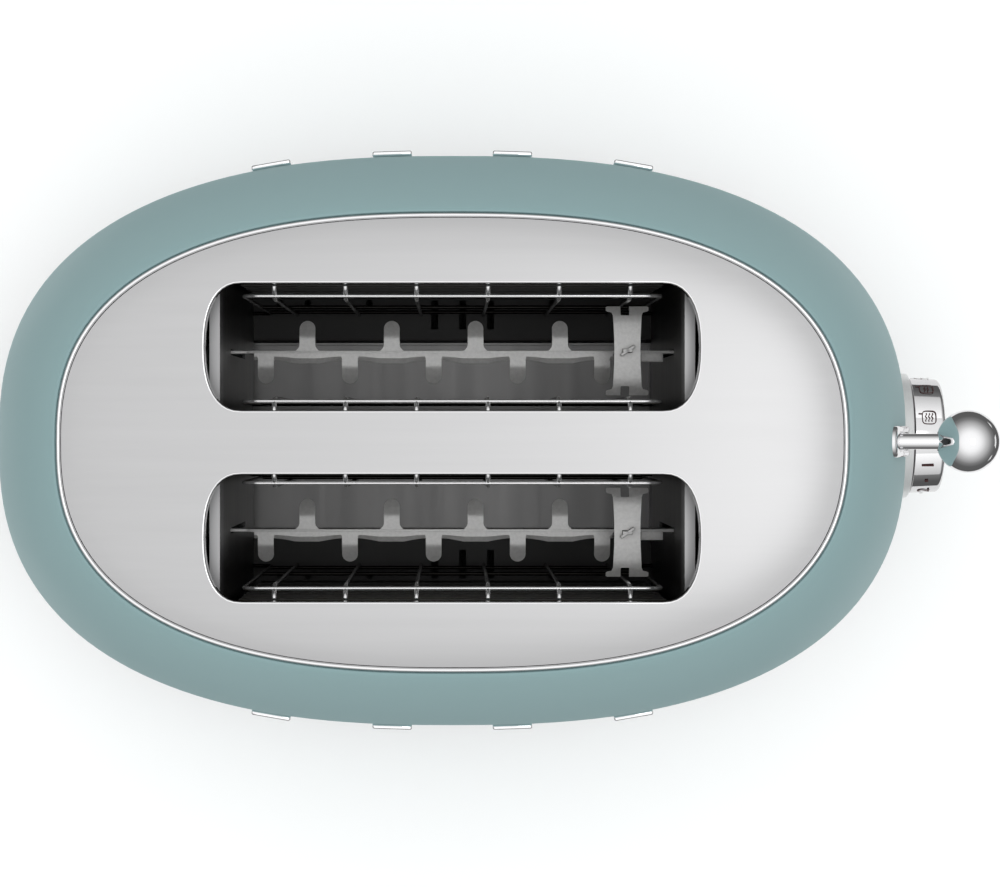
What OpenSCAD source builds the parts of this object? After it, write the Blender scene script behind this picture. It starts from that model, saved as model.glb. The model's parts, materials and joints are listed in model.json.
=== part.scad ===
// Two-slot retro toaster: domed oval steel body, crowned steel top panel, ball lever and browning dial.
// Millimetres. +Z up, +X towards the lever end, origin on the table under the middle of the body.

/* [Body] */
// Half length of the body at its widest
body_half_l = 148.2; // [146:0.2:152]
// Half width of the body at its widest
body_half_w = 93.8; // [92:0.2:96]
// Half length the dome would close to at its top
crown_half_l = 110.8; // [109:0.2:113]
// Half width the dome would close to at its top
crown_half_w = 64; // [62:0.2:65]
// Height of the body's widest line
waist_z = 30; // [28:1:32]
// Height at which the dome would close
crown_z = 195; // [194:0.5:196]
// Exponent of the dome's side profile
dome_power = 1.7; // [1.6:0.05:1.8]
// Exponent of the oval seen from above
plan_power = 2.5; // [2.4:0.05:2.6]
// Height of the body's bottom edge
shell_bottom = 18; // [17:0.5:19]
// Height of the body's top rim
rim_z = 193; // [192.5:0.1:193.4]
// Thickness of the body shell
shell_t = 1.2; // [1:0.1:1.4]

/* [Panel and slots] */
// Height of the panel's top face
panel_z = 196; // [195.6:0.1:196.4]
// Thickness of the panel
panel_t = 1.4; // [1:0.1:1.6]
// Length of a bread slot
slot_l = 141.3; // [138:0.1:142]
// Width of a bread slot
slot_w = 36.3; // [35:0.1:36.6]
// Distance of each slot's centre line from the middle
slot_y = 27.25; // [27:0.05:27.5]
// Depth of a slot's rounded end
slot_end = 10.7; // [9:0.1:12]

/* [Chassis] */
// Inner face of each end plate
plate_x = 67.5; // [67:0.1:68]
// Thickness of the end plates
plate_t = 1; // [0.8:0.1:1.2]
// Top of the end plates
plate_top = 178; // [176:0.5:180]
// Distance of each mica board from its slot's centre line
mica_offset = 20.5; // [20.3:0.1:20.8]
// Number of turns in each heating winding
winding_turns = 10; // [6:1:11]

/* [Bread carriage] */
// Height of the bread rack's tabs at rest
rack_z = 130; // [128:0.5:131]
// Travel of the lever
lever_travel = 50; // [45:1:50]
// Height of the lever rod at rest
lever_z = 142; // [141:0.5:143]
// Radius of the lever rod
rod_r = 2.4; // [2.2:0.1:2.5]
// Radius of the lever ball
ball_r = 9.5; // [9:0.1:9.8]
// Distance of the ball's centre along the length
ball_x = 155.6; // [155:0.1:156]
// Radius of the guard wires
wire_r = 0.6; // [0.5:0.05:0.65]
// Distance of the guards' long wires from the slot's centre line
guard_offset = 15.4; // [15.2:0.1:15.6]

/* [Dial] */
// Height of the dial's axis
dial_z = 60; // [58:0.5:60]
// Sideways place of the dial's axis
dial_y = 1.5; // [0:0.1:1.5]
// Radius of the dial
dial_r = 18.8; // [17:0.1:19]
// Radius of the ring behind the dial
bezel_r = 20.3; // [19.5:0.1:20.4]
// Front face of the dial
dial_front = 159; // [158:0.1:160]

/* [Base] */
// Height of the base's underside above the table
foot_h = 4; // [3:0.5:5]
// Radius of the feet
foot_r = 9; // [7:0.5:10]
// Half width of the crumb tray
tray_half_w = 33; // [30:0.5:33.4]

/* [Hidden] */
eps = 0.01;
$fn = 48;

// Oval outlines
oval_segments = 48;
tuck = 0.10;
tuck_h = 16;
function dome(z) = z >= waist_z
    ? pow(max(0, 1 - pow((z - waist_z) / (crown_z - waist_z), dome_power)), 1 / dome_power)
    : 1 - tuck * pow((waist_z - z) / tuck_h, 2);
function half_l(z) = crown_half_l + (body_half_l - crown_half_l) * dome(z);
function half_w(z) = crown_half_w + (body_half_w - crown_half_w) * dome(z);
function signed_power(v, p) = sign(v) * pow(abs(v), p);
function oval(a, b, p = plan_power, n = oval_segments) = [
    for (i = [0:n - 1])
        let (t = 360 * i / n)
        [a * signed_power(cos(t), 2 / p), b * signed_power(sin(t), 2 / p)]
];
function wall_y(x, z) = half_w(z) * pow(1 - pow(abs(x) / half_l(z), plan_power), 1 / plan_power);

// Heights of the shell's rings, closer together where the dome turns in
ring_z = [shell_bottom, 24, 30, 48, 70, 94, 118, 140, 157, 170, 180, 186.5, 190.5, rim_z];

// Plan of the bread slots
slot_power = 2.4;
function slot_end_points(half_w_now, deep, x0, side) = [
    for (i = [0:10])
        let (t = -90 + 18 * i)
        [side * (x0 + deep * signed_power(cos(t), 2 / slot_power)),
         side * half_w_now * signed_power(sin(t), 2 / slot_power)]
];
function slot_points(grow) = concat(
    slot_end_points(slot_w / 2 + grow, slot_end + grow, slot_l / 2 - slot_end, 1),
    slot_end_points(slot_w / 2 + grow, slot_end + grow, slot_l / 2 - slot_end, -1)
);

// Free height of the lever slot above the rod at rest
slot_spare = 9;
// Gap between the lever rod and the plate's slot
slot_gap = 0.35;
// The wall's own slot, wider than the plate's
wall_slot_half = 3.8;
wall_slot_z = [86, 157];

// Cuts through the front wall run between these lengths
front_cut = [120, 160];
// Cuts through the wall elsewhere reach this far either way
wall_reach = 20;
close_fit = 0.05;

// Panel fit
trim_gap = 0.15;
trim_w = 1.5;
trim_top = 194.8;
trim_drop = 6;
trim_half_l = half_l(rim_z) - shell_t - trim_gap;
trim_half_w = half_w(rim_z) - shell_t - trim_gap;
panel_half_l = trim_half_l - trim_w;
panel_half_w = trim_half_w - trim_w;
lip_drop = 6;
lip_t = 0.8;

// Base stack
pan_floor_t = 3;
pan_wall_t = 2.5;
pan_top = 15.8;
trim_top_z = shell_bottom;
trim_half = [145.2, 91.2];
trim_t = 2;
pan_half = [trim_half.x - trim_t - 0.1, trim_half.y - trim_t - 0.1];
pan_floor_top = foot_h + pan_floor_t;
foot_x = 105;
foot_y = 48;
stem_r = 3.5;

// Crumb tray
tray_z = 8;
tray_t = 0.6;
tray_top = 13.6;
tray_x0 = -139;
tray_x1 = 68;
tray_gap = 0.4;
rail_t = 2.5;
flange_z = 20;
flange_inner = 34;
reflector_y = 53.5;
sheet_t = 0.6;

// Guards
pivot_z = 26;
pivot_gap = 0.05;
guard_top = 175;
guard_x = 61;
upright_offset = 14.5;
uprights = [-51.8, -31.1, -10.4, 10.4, 31.1, 51.8];
cross_wire_z = [84, 40];
tip_offset = 18.4;
tip_z = 177.4;
upright_z0 = 38;

// Racks
blade_t = 1;
blade_h = 12;
tab_w = 4.8;
tab_flat = 5;
tab_drop = 25;
tab_t = 0.8;
left_tabs = [-44.3, -18.5, 7.1, 32.9];
right_tabs = [-57, -31.3, -5.7, 20, 45.8];
bridge_x = 52.5;
bridge_z = 148;
bridge_w = 8.7;
bridge_flange = 12.8;
notch_x = 51.8;
notch_half = 1.3;
notch_to = 10.4;
tongue_w = 3;

// Front bay
guide_x = 82;
guide_r = 3;
bush_r = 6;
bush_z0 = 124;
bush_z1 = 164;
running_gap = 0.05;
bracket_x = 72;
bracket_t = 1.2;
block_x1 = 96;
rod_x0 = 89;
spring_z0 = 14;
magnet_x = 84;
magnet_y = -22;
magnet_top = 62;
keeper_t = 2.5;
board_x = 112;
board_t = 1.6;
board_half_y = 46;
board_z0 = 26;
board_z1 = 82;
shaft_r = 3;

// Builds a closed tube-like wall from stacked outlines, outside going up and inside coming down
module lofted_wall(levels, wall) {
    n = oval_segments;
    m = len(levels);
    outer = [for (z = levels) for (p = oval(half_l(z), half_w(z))) [p.x, p.y, z]];
    inner = [
        for (k = [m - 1:-1:0])
            for (p = oval(half_l(levels[k]) - wall, half_w(levels[k]) - wall)) [p.x, p.y, levels[k]]
    ];
    rows = 2 * m;
    faces = [
        for (r = [0:rows - 1])
            for (i = [0:n - 1])
                let (
                    a = r * n + i,
                    b = r * n + (i + 1) % n,
                    c = ((r + 1) % rows) * n + (i + 1) % n,
                    d = ((r + 1) % rows) * n + i
                )
                each [[a, c, b], [a, d, c]]
    ];
    polyhedron(points = concat(outer, inner), faces = faces, convexity = 8);
}

module oval_plate(half, z0, z1) {
    translate([0, 0, z0])
        linear_extrude(z1 - z0)
            polygon(oval(half.x, half.y));
}

module oval_ring(half, wall, z0, z1) {
    translate([0, 0, z0])
        linear_extrude(z1 - z0)
            difference() {
                polygon(oval(half.x, half.y));
                polygon(oval(half.x - wall, half.y - wall));
            }
}

module block(x, y, z) {
    translate([x[0], y[0], z[0]])
        cube([x[1] - x[0], y[1] - y[0], z[1] - z[0]]);
}

module rod_x(x0, x1, y, z, r) {
    translate([x0, y, z])
        rotate([0, 90, 0])
            cylinder(h = x1 - x0, r = r);
}

module rod_between(a, b, r) {
    v = b - a;
    flat = norm([v.x, v.y]);
    translate(a)
        rotate([0, atan2(flat, v.z), atan2(v.y, v.x)])
            cylinder(h = norm(v), r = r);
}

// ---- Outside ----

module body_shell() {
    color([0.55, 0.64, 0.64])
        difference() {
            lofted_wall(ring_z, shell_t);
            block(front_cut, [-wall_slot_half, wall_slot_half], wall_slot_z);
            rod_x(front_cut[0], front_cut[1], dial_y, dial_z, bezel_r + close_fit);
            gland_place() translate([0, 0, -wall_reach]) cylinder(h = 2 * wall_reach, r = gland_neck_r + close_fit);
        }
}

module slot_holes(grow, z0, z1) {
    for (side = [-1, 1])
        translate([0, side * slot_y, z0])
            linear_extrude(z1 - z0)
                polygon(slot_points(grow));
}

module top_panel() {
    color([0.82, 0.82, 0.83])
        union() {
            difference() {
                oval_plate([panel_half_l, panel_half_w], panel_z - panel_t, panel_z);
                slot_holes(0, panel_z - 2 * panel_t, panel_z + 1);
            }
            oval_ring([panel_half_l, panel_half_w], lip_t, panel_z - lip_drop, panel_z - panel_t + eps);
            difference() {
                slot_holes(lip_t, panel_z - lip_drop, panel_z - panel_t + eps);
                slot_holes(0, panel_z - lip_drop - 1, panel_z);
            }
        }
}

module panel_trim() {
    color([0.93, 0.93, 0.94])
        oval_ring([trim_half_l, trim_half_w], trim_w - trim_gap, trim_top - trim_drop, trim_top);
}

module base_pan() {
    boss_r = 4;
    boss_top = 14;
    boss_x = 62;
    boss_y = 46;
    rail_x = [-130, 66];
    rail_y = tray_half_w + tray_gap + rail_t / 2;
    front_wall_x = [71, 74];
    magnet_pad_x = [78, 90];
    board_step_x = [105, 110];
    mouth_x = [-150, -132];
    head_r = 3.2;
    color([0.12, 0.12, 0.13])
        difference() {
            union() {
                difference() {
                    oval_plate(pan_half, foot_h, pan_top);
                    oval_plate([pan_half.x - pan_wall_t, pan_half.y - pan_wall_t], pan_floor_top, pan_top + 1);
                }
                for (side = [-1, 1]) {
                    block(rail_x, [side * rail_y - rail_t / 2, side * rail_y + rail_t / 2],
                        [pan_floor_top - 1, flange_z]);
                    for (x = [-boss_x, boss_x])
                        translate([x, side * boss_y, pan_floor_top - 1])
                            cylinder(h = boss_top + 1 - pan_floor_top, r = boss_r);
                }
                block(front_wall_x, [-36, 36], [pan_floor_top - 1, boss_top]);
                translate([guide_x, 0, pan_floor_top - 1]) cylinder(h = boss_top + 1 - pan_floor_top, r = 7);
                block(magnet_pad_x, [magnet_y - 6, magnet_y + 6], [pan_floor_top - 1, 20]);
                block(board_step_x, [-44, 44], [pan_floor_top - 1, 12]);
            }
            block(mouth_x, [-tray_half_w - 1.2, tray_half_w + 1.2], [tray_z - 0.8, 30]);
            translate([guide_x, 0, pan_floor_top + 2]) cylinder(h = 20, r = guide_r);
            for (x = [-foot_x, foot_x])
                for (y = [-foot_y, foot_y])
                    translate([x, y, 0]) cylinder(h = 20, r = stem_r);
            base_screw_places() {
                translate([0, 0, foot_h - 1]) cylinder(h = 2.6, r = head_r);
                cylinder(h = 30, r = 1.5);
            }
        }
}

module base_trim() {
    color([0.9, 0.9, 0.92])
        difference() {
            oval_ring(trim_half, trim_t, foot_h, trim_top_z);
            block([-150, -132], [-tray_half_w - 0.6, tray_half_w + 0.6], [tray_z - 0.6, 15]);
        }
}

module foot(x, y) {
    color([0.16, 0.16, 0.17])
        translate([x, y, 0]) {
            cylinder(h = 1, r1 = foot_r - 0.8, r2 = foot_r);
            translate([0, 0, 1]) cylinder(h = foot_h - 1, r = foot_r);
            translate([0, 0, foot_h]) cylinder(h = 4, r = stem_r);
        }
}

module foot_front_left() {
    foot(foot_x, foot_y);
}

module foot_front_right() {
    foot(foot_x, -foot_y);
}

module foot_rear_left() {
    foot(-foot_x, foot_y);
}

module foot_rear_right() {
    foot(-foot_x, -foot_y);
}

module lever_escutcheon() {
    back_gap = 0.2;
    face_t = 1.1;
    half = 4.7;
    top = 161;
    bottom = 84;
    steps = 12;
    front = [
        for (i = [0:steps])
            let (z = bottom + (top - bottom) * i / steps)
            [half_l(z) + back_gap + face_t, z]
    ];
    back = [
        for (i = [steps:-1:0])
            let (z = bottom + (top - bottom) * i / steps)
            [half_l(z) + back_gap, z]
    ];
    color([0.9, 0.9, 0.92])
        difference() {
            intersection() {
                rotate([90, 0, 0])
                    linear_extrude(2 * half, center = true)
                        polygon(concat(front, back));
                union() {
                    rod_x(front_cut[0], front_cut[1], 0, top - half, half);
                    rod_x(front_cut[0], front_cut[1], 0, bottom + half, half);
                    block(front_cut, [-half, half], [bottom + half, top - half]);
                }
            }
            lever_slot(rod_r + slot_gap);
        }
}

module lever_slot(r) {
    low = lever_z - lever_travel;
    high = lever_z + slot_spare;
    rod_x(front_cut[0], front_cut[1], 0, high, r);
    rod_x(front_cut[0], front_cut[1], 0, low, r);
    block(front_cut, [-r, r], [low, high]);
}

module side_bars(side) {
    bar_z = 52;
    bar_sink = 0.25;
    bar_w = 13;
    bar_h = 20;
    bar_t = 1.8;
    round_r = 3;
    step = 4;
    for (x = [-59.4, -19.7, 19.7, 59.4]) {
        yaw = atan2(wall_y(x + step, bar_z) - wall_y(x - step, bar_z), 2 * step);
        lean = atan2(half_w(bar_z - step) - half_w(bar_z + step), 2 * step);
        translate([x, side * wall_y(x, bar_z), bar_z])
            rotate([side * lean, 0, side * yaw])
                translate([0, side * bar_sink, 0])
                    rotate([-side * 90, 0, 0])
                        linear_extrude(bar_t)
                            union() {
                                square([bar_w - 2 * round_r, bar_h], center = true);
                                square([bar_w, bar_h - 2 * round_r], center = true);
                                for (i = [-1, 1])
                                    for (j = [-1, 1])
                                        translate([i * (bar_w / 2 - round_r), j * (bar_h / 2 - round_r)])
                                            circle(r = round_r);
                            }
    }
}

module side_bars_left() {
    color([0.9, 0.9, 0.92]) side_bars(1);
}

module side_bars_right() {
    color([0.9, 0.9, 0.92]) side_bars(-1);
}

// ---- Dial ----

module dial_bezel() {
    back = 142.5;
    front = 148.6;
    recess = 147.6;
    rim = 2;
    color([0.92, 0.92, 0.93])
        difference() {
            rod_x(back, front, dial_y, dial_z, bezel_r);
            rod_x(recess, front + 1.4, dial_y, dial_z, bezel_r - rim);
            rod_x(back - 2.5, front + 1.4, dial_y, dial_z, shaft_r + 1);
        }
}

module dial_knob() {
    back = 149;
    shoulder = dial_front - 1.6;
    hollow_x = 154;
    hub_r = 7;
    well_x = 155.2;
    well_r = 7.3;
    color([0.9, 0.9, 0.92])
        difference() {
            union() {
                rod_x(back, shoulder, dial_y, dial_z, dial_r);
                translate([shoulder, dial_y, dial_z])
                    rotate([0, 90, 0])
                        cylinder(h = dial_front - shoulder, r1 = dial_r, r2 = dial_r - 1.3);
            }
            difference() {
                rod_x(back - 1, hollow_x, dial_y, dial_z, dial_r - 2);
                rod_x(back - 2, hollow_x + 1, dial_y, dial_z, hub_r);
            }
            rod_x(well_x, 170, dial_y, dial_z, well_r);
            rod_x(back - 1, 153.5, dial_y, dial_z, shaft_r);
            rod_x(back - 1, 156, dial_y, dial_z, push_bore_r);
        }
}

// Bore that the stop button's stem slides in
push_bore_r = 1.8;

module dial_shaft() {
    color([0.75, 0.75, 0.77])
        difference() {
            rod_x(119, 153.4, dial_y, dial_z, shaft_r);
            rod_x(118, 154, dial_y, dial_z, push_bore_r);
        }
}

module stop_button() {
    cap_x = 157.2;
    cap_r = 7;
    stem_x = 120;
    push_stem_r = 1.4;
    color([0.88, 0.88, 0.9])
        union() {
            rod_x(cap_x, dial_front + 0.4, dial_y, dial_z, cap_r);
            rod_x(stem_x, cap_x + eps, dial_y, dial_z, push_stem_r);
        }
}

module potentiometer() {
    body_x1 = 126;
    color([0.2, 0.25, 0.4])
        difference() {
            union() {
                block([board_x + board_t, body_x1], [dial_y - 11, dial_y + 11], [dial_z - 11, dial_z + 11]);
                rod_x(body_x1 - eps, 138, dial_y, dial_z, 4.5);
            }
            rod_x(117.5, 150, dial_y, dial_z, shaft_r + running_gap);
        }
}

// ---- Crumb tray and cord entry ----

module crumb_tray() {
    color([0.7, 0.71, 0.72])
        difference() {
            block([tray_x0, tray_x1], [-tray_half_w, tray_half_w], [tray_z, tray_top]);
            block([tray_x0 + tray_t, tray_x1 - tray_t], [-tray_half_w + tray_t, tray_half_w - tray_t],
                [tray_z + tray_t, tray_top + 1]);
        }
}

module tray_handle() {
    front_t = 2.6;
    front_half = 30;
    grip_reach = 5.4;
    grip_half = 20;
    color([0.88, 0.88, 0.9])
        union() {
            block([tray_x0 - front_t, tray_x0], [-front_half, front_half], [tray_z, tray_top + 0.8]);
            block([tray_x0 - grip_reach, tray_x0 - front_t + eps], [-grip_half, grip_half], [tray_z, tray_z + 1.8]);
        }
}

gland_angle = 146;
gland_x = -135.6;
gland_y = 48.69;
gland_z = 27;
gland_neck_r = 5.2;
gland_depth = 10;
gland_seat = 0.15;
gland_flange_r = 8;
gland_flange_t = 2.4;
gland_bore_r = 3.6;

// Moves what it is given to the cord entry, with +Z pointing out of the body
module gland_place() {
    translate([gland_x, gland_y, gland_z])
        rotate([0, 90, gland_angle])
            children();
}

module cord_gland() {
    color([0.1, 0.1, 0.11])
        gland_place()
            difference() {
                union() {
                    translate([0, 0, -gland_depth]) cylinder(h = gland_depth + gland_seat + 1, r = gland_neck_r);
                    translate([0, 0, gland_seat]) cylinder(h = gland_flange_t, r = gland_flange_r);
                }
                translate([0, 0, -gland_depth - 2]) cylinder(h = 20, r = gland_bore_r);
            }
}

// ---- Chassis ----

module end_plate(side, lug) {
    inner = side > 0 ? plate_x : -plate_x - plate_t;
    leg_y = 54;
    leg_z = 22;
    lug_z = [170, 171.5];
    slot_z = [65, 132.5];
    flange_l = 3;
    color([0.66, 0.67, 0.68])
        difference() {
            union() {
                block([inner, inner + plate_t], [-leg_y, leg_y], [leg_z, plate_top]);
                for (s = [-1, 1]) {
                    block([inner, inner + plate_t], [s * 45 - 9, s * 45 + 9], [14, leg_z + eps]);
                    for (y = [0, 49])
                        block([inner, inner + plate_t], [s * y - 5, s * y + 5], [plate_top - eps, 189.8]);
                }
                flange_a = side > 0 ? plate_x : -plate_x - flange_l;
                block([flange_a, flange_a + flange_l], [-leg_y, -6], [plate_top - 1, plate_top]);
                block([flange_a, flange_a + flange_l], [6, leg_y], [plate_top - 1, plate_top]);
                if (lug) {
                    block([plate_x, 90], [-8, 8], lug_z);
                }
            }
            for (s = [-1, 1]) {
                block([inner - 1, inner + plate_t + 1], [s * slot_y - 0.9, s * slot_y + 0.9], slot_z);
                for (k = [-1, 1])
                    rod_x(inner - 1, inner + plate_t + 1, s * slot_y + k * guard_offset, pivot_z,
                        wire_r + pivot_gap);
            }
            chassis_screw_places(side) cylinder(h = 8, r = 1.4, center = true);
            if (lug) {
                translate([guide_x, 0, 160]) cylinder(h = 20, r = guide_r);
            }
        }
}

module front_plate() {
    end_plate(1, true);
}

module rear_plate() {
    end_plate(-1, false);
}

module reflector(side) {
    reach = plate_x;
    top = 172;
    vent_y = [37.5, 47.3];
    color([0.5, 0.5, 0.52])
        difference() {
            union() {
                block([-reach, reach],
                    side > 0 ? [reflector_y, reflector_y + sheet_t] : [-reflector_y - sheet_t, -reflector_y],
                    [flange_z, top]);
                block([-reach, reach],
                    side > 0 ? [flange_inner, reflector_y + sheet_t] : [-reflector_y - sheet_t, -flange_inner],
                    [flange_z, flange_z + sheet_t]);
            }
            for (x = [-6, 3.5, 13])
                block([x - 1.2, x + 1.2], side > 0 ? vent_y : [-vent_y[1], -vent_y[0]], [flange_z - 1, flange_z + 2]);
            for (x = [-58.6, -49.1, -28.2, 33.9])
                translate([x, side * 46.4, flange_z - 1]) cylinder(h = 3, r = 1.2);
        }
}

module reflector_left() {
    reflector(1);
}

module reflector_right() {
    reflector(-1);
}

mica_t = 0.5;
mica_z0 = 30;
mica_z1 = 172;
mica_half_l = 64;

module mica(y) {
    color([0.75, 0.68, 0.55])
        block([-mica_half_l, mica_half_l], [y - mica_t / 2, y + mica_t / 2], [mica_z0, mica_z1]);
}

module mica_outer_left() {
    mica(slot_y + mica_offset);
}

module mica_inner_left() {
    mica(slot_y - mica_offset);
}

module mica_inner_right() {
    mica(-slot_y + mica_offset);
}

module mica_outer_right() {
    mica(-slot_y - mica_offset);
}

ribbon_w = 1.4;
ribbon_t = 0.2;

module winding(y) {
    first = 48;
    pitch = 12;
    color([0.55, 0.5, 0.47])
        for (i = [0:winding_turns - 1])
            difference() {
                block([-mica_half_l - ribbon_t, mica_half_l + ribbon_t],
                    [y - mica_t / 2 - ribbon_t, y + mica_t / 2 + ribbon_t],
                    [first + i * pitch, first + i * pitch + ribbon_w]);
                block([-mica_half_l, mica_half_l], [y - mica_t / 2, y + mica_t / 2],
                    [first + i * pitch - 1, first + i * pitch + ribbon_w + 1]);
            }
}

module winding_outer_left() {
    winding(slot_y + mica_offset);
}

module winding_inner_left() {
    winding(slot_y - mica_offset);
}

module winding_inner_right() {
    winding(-slot_y + mica_offset);
}

module winding_outer_right() {
    winding(-slot_y - mica_offset);
}

module bus_bars() {
    color([0.8, 0.66, 0.3])
        for (z = [38, 160])
            block([-plate_x - plate_t - 1, -plate_x - plate_t], [-50, 50], [z, z + 5]);
}

// ---- Bread guards ----

// A guard hinges on the stubs at the ends of its bottom wire; away is the side turned from the bread
module guard(slot_side, away) {
    y = slot_side * slot_y + away * guard_offset;
    yu = slot_side * slot_y + away * upright_offset;
    yt = slot_side * slot_y + away * tip_offset;
    bend = 5;
    foot_bend = 3;
    stub = 70.3;
    color([0.85, 0.85, 0.86])
        union() {
            for (s = [-1, 1]) {
                rod_x(s > 0 ? guard_x + foot_bend : -stub, s > 0 ? stub : -guard_x - foot_bend, y, pivot_z, wire_r);
                translate([s * (guard_x + foot_bend), y, pivot_z + foot_bend])
                    rotate([90, s > 0 ? 180 : 90, 0])
                        rotate_extrude(angle = 90) translate([foot_bend, 0]) circle(r = wire_r);
                translate([s * guard_x, y, pivot_z + foot_bend])
                    cylinder(h = guard_top - bend - pivot_z - foot_bend, r = wire_r);
                translate([s * (guard_x - bend), y, guard_top - bend])
                    rotate([90, s > 0 ? 0 : 270, 0])
                        rotate_extrude(angle = 90) translate([bend, 0]) circle(r = wire_r);
            }
            rod_x(-guard_x + bend, guard_x - bend, y, guard_top, wire_r);
            for (z = cross_wire_z)
                rod_x(-guard_x, guard_x, y, z, wire_r);
            for (x = uprights) {
                translate([x, yu, upright_z0]) cylinder(h = guard_top - 1 - upright_z0, r = wire_r);
                rod_between([x, yu - away * 0.2, guard_top - 1.6], [x, yt, tip_z], wire_r);
            }
        }
}

module guard_outer_left() {
    guard(1, 1);
}

module guard_inner_left() {
    guard(1, -1);
}

module guard_inner_right() {
    guard(-1, 1);
}

module guard_outer_right() {
    guard(-1, -1);
}

// ---- Bread racks and carriage ----

module tab(x, side) {
    translate([x, 0, rack_z - tab_t])
        linear_extrude(tab_t)
            translate([-tab_w / 2, side > 0 ? 0 : -tab_flat])
                square([tab_w, tab_flat]);
    translate([x, side * (tab_flat - 0.1), rack_z - tab_t / 2])
        rotate([-side * tab_drop, 0, 0])
            translate([0, 0, -tab_t / 2])
                linear_extrude(tab_t)
                    union() {
                        translate([-tab_w / 2, side > 0 ? 0 : -2.6]) square([tab_w, 2.6]);
                        translate([0, side * 2.6]) circle(d = tab_w);
                    }
}

module rack(y) {
    lip = 3.4;
    color([0.62, 0.62, 0.64])
        translate([0, y, 0])
            union() {
                block([-62.4, bracket_x], [-blade_t / 2, blade_t / 2], [rack_z - blade_h, rack_z]);
                block([-70.5, -62.4 + eps], [-blade_t / 2, blade_t / 2], [rack_z - 8, rack_z - 2]);
                block([-60.5, 49], [-lip, 0], [rack_z - tab_t, rack_z]);
                for (x = left_tabs) {
                    tab(x, 1);
                    translate([x, 0, rack_z - tab_t]) cylinder(h = tab_t, r = 3.6);
                }
                for (x = right_tabs)
                    translate([0, -1, 0]) tab(x, -1);
                block([57.6, 64.4], [-3, 0], [rack_z - tab_t, rack_z]);
                block([bridge_x - tongue_w / 2, bridge_x + tongue_w / 2], [-blade_t / 2, blade_t / 2],
                    [rack_z - 1, bridge_z + 3]);
                translate([bridge_x, 0, bridge_z + 1.9])
                    rotate([0, 0, 35])
                        cube([5, blade_t, 2.2], center = true);
            }
}

module rack_left() {
    rack(slot_y);
}

module rack_right() {
    rack(-slot_y);
}

module bridge(y) {
    t = 0.8;
    slope_y = 10.6;
    fall = 28;
    color([0.6, 0.6, 0.62])
        translate([bridge_x, y, bridge_z])
            difference() {
                union() {
                    block([-bridge_w / 2, bridge_w / 2], [-slope_y, slope_y], [-t, 0]);
                    for (s = [-1, 1])
                        translate([0, s * (slope_y - 0.2), 0])
                            rotate([-s * fall, 0, 0]) {
                                block([-bridge_w / 2, bridge_w / 2], [s > 0 ? 0 : -2, s > 0 ? 2 : 0], [-t, 0]);
                                block([-bridge_flange / 2, bridge_flange / 2],
                                    [s > 0 ? 1.2 : -3.4, s > 0 ? 3.4 : -1.2], [-t, 0]);
                            }
                }
                block([-tongue_w / 2 - 0.1, tongue_w / 2 + 0.1], [-0.6, 0.6], [-2, 1]);
                for (s = [-1, 1])
                    block([notch_x - bridge_x - notch_half, notch_x - bridge_x + notch_half],
                        [s > 0 ? notch_to : -20, s > 0 ? 20 : -notch_to], [-8, 2]);
            }
}

module bridge_left() {
    bridge(slot_y);
}

module bridge_right() {
    bridge(-slot_y);
}

module carriage_bracket() {
    color([0.58, 0.58, 0.6])
        difference() {
            union() {
                block([bracket_x, bracket_x + bracket_t], [-36, 36], [rack_z - 16, 146]);
                block([bracket_x + bracket_t - eps, block_x1], [-8, 8], [134, 150]);
                block([bracket_x + bracket_t - eps, 90], [magnet_y - 6, -7], [134, 136]);
                block([78, 90], [magnet_y - 6, magnet_y + 6], [magnet_top + lever_travel + 0.4 + keeper_t, 134 + eps]);
            }
            translate([guide_x, 0, 120]) cylinder(h = 50, r = bush_r);
            rod_x(rod_x0, 100, 0, lever_z, rod_r);
        }
}

module slide_bush() {
    color([0.85, 0.8, 0.65])
        translate([guide_x, 0, bush_z0])
            difference() {
                cylinder(h = bush_z1 - bush_z0, r = bush_r);
                translate([0, 0, -1]) cylinder(h = bush_z1 - bush_z0 + 2, r = guide_r + running_gap);
            }
}

module guide_rod() {
    color([0.8, 0.8, 0.82])
        translate([guide_x, 0, pan_floor_top + 2])
            cylinder(h = 171.5 - pan_floor_top - 2, r = guide_r);
}

module rod_bumper() {
    color([0.15, 0.15, 0.16])
        translate([guide_x, 0, bush_z1 + 0.3])
            difference() {
                cylinder(h = 170 - bush_z1 - 0.3, r = 5.5);
                translate([0, 0, -1]) cylinder(h = 10, r = guide_r);
            }
}

spring_r = 4.4;
spring_wire = 0.5;
spring_turns = 14;
spring_steps = 12;
spring_sides = 6;

module lift_spring() {
    z0 = spring_z0 + spring_wire + 0.1;
    z1 = bush_z0 - spring_wire - 0.3;
    n = spring_turns * spring_steps;
    points = [
        for (i = [0:n])
            for (j = [0:spring_sides - 1])
                let (
                    t = 360 * i / spring_steps,
                    u = 360 * j / spring_sides,
                    r = spring_r + spring_wire * cos(u)
                )
                [r * cos(t), r * sin(t), z0 + (z1 - z0) * i / n + spring_wire * sin(u)]
    ];
    sides = [
        for (i = [0:n - 1])
            for (j = [0:spring_sides - 1])
                let (k = (j + 1) % spring_sides, a = i * spring_sides, b = a + spring_sides)
                each [[a + j, b + j, b + k], [a + j, b + k, a + k]]
    ];
    caps = [
        [for (j = [0:spring_sides - 1]) j],
        [for (j = [spring_sides - 1:-1:0]) n * spring_sides + j]
    ];
    color([0.7, 0.7, 0.72])
        translate([guide_x, 0, 0])
            polyhedron(points = points, faces = concat(sides, caps), convexity = 10);
}

module lever_rod() {
    color([0.9, 0.9, 0.92])
        rod_x(rod_x0, ball_x - 1.5, 0, lever_z, rod_r);
}

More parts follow.
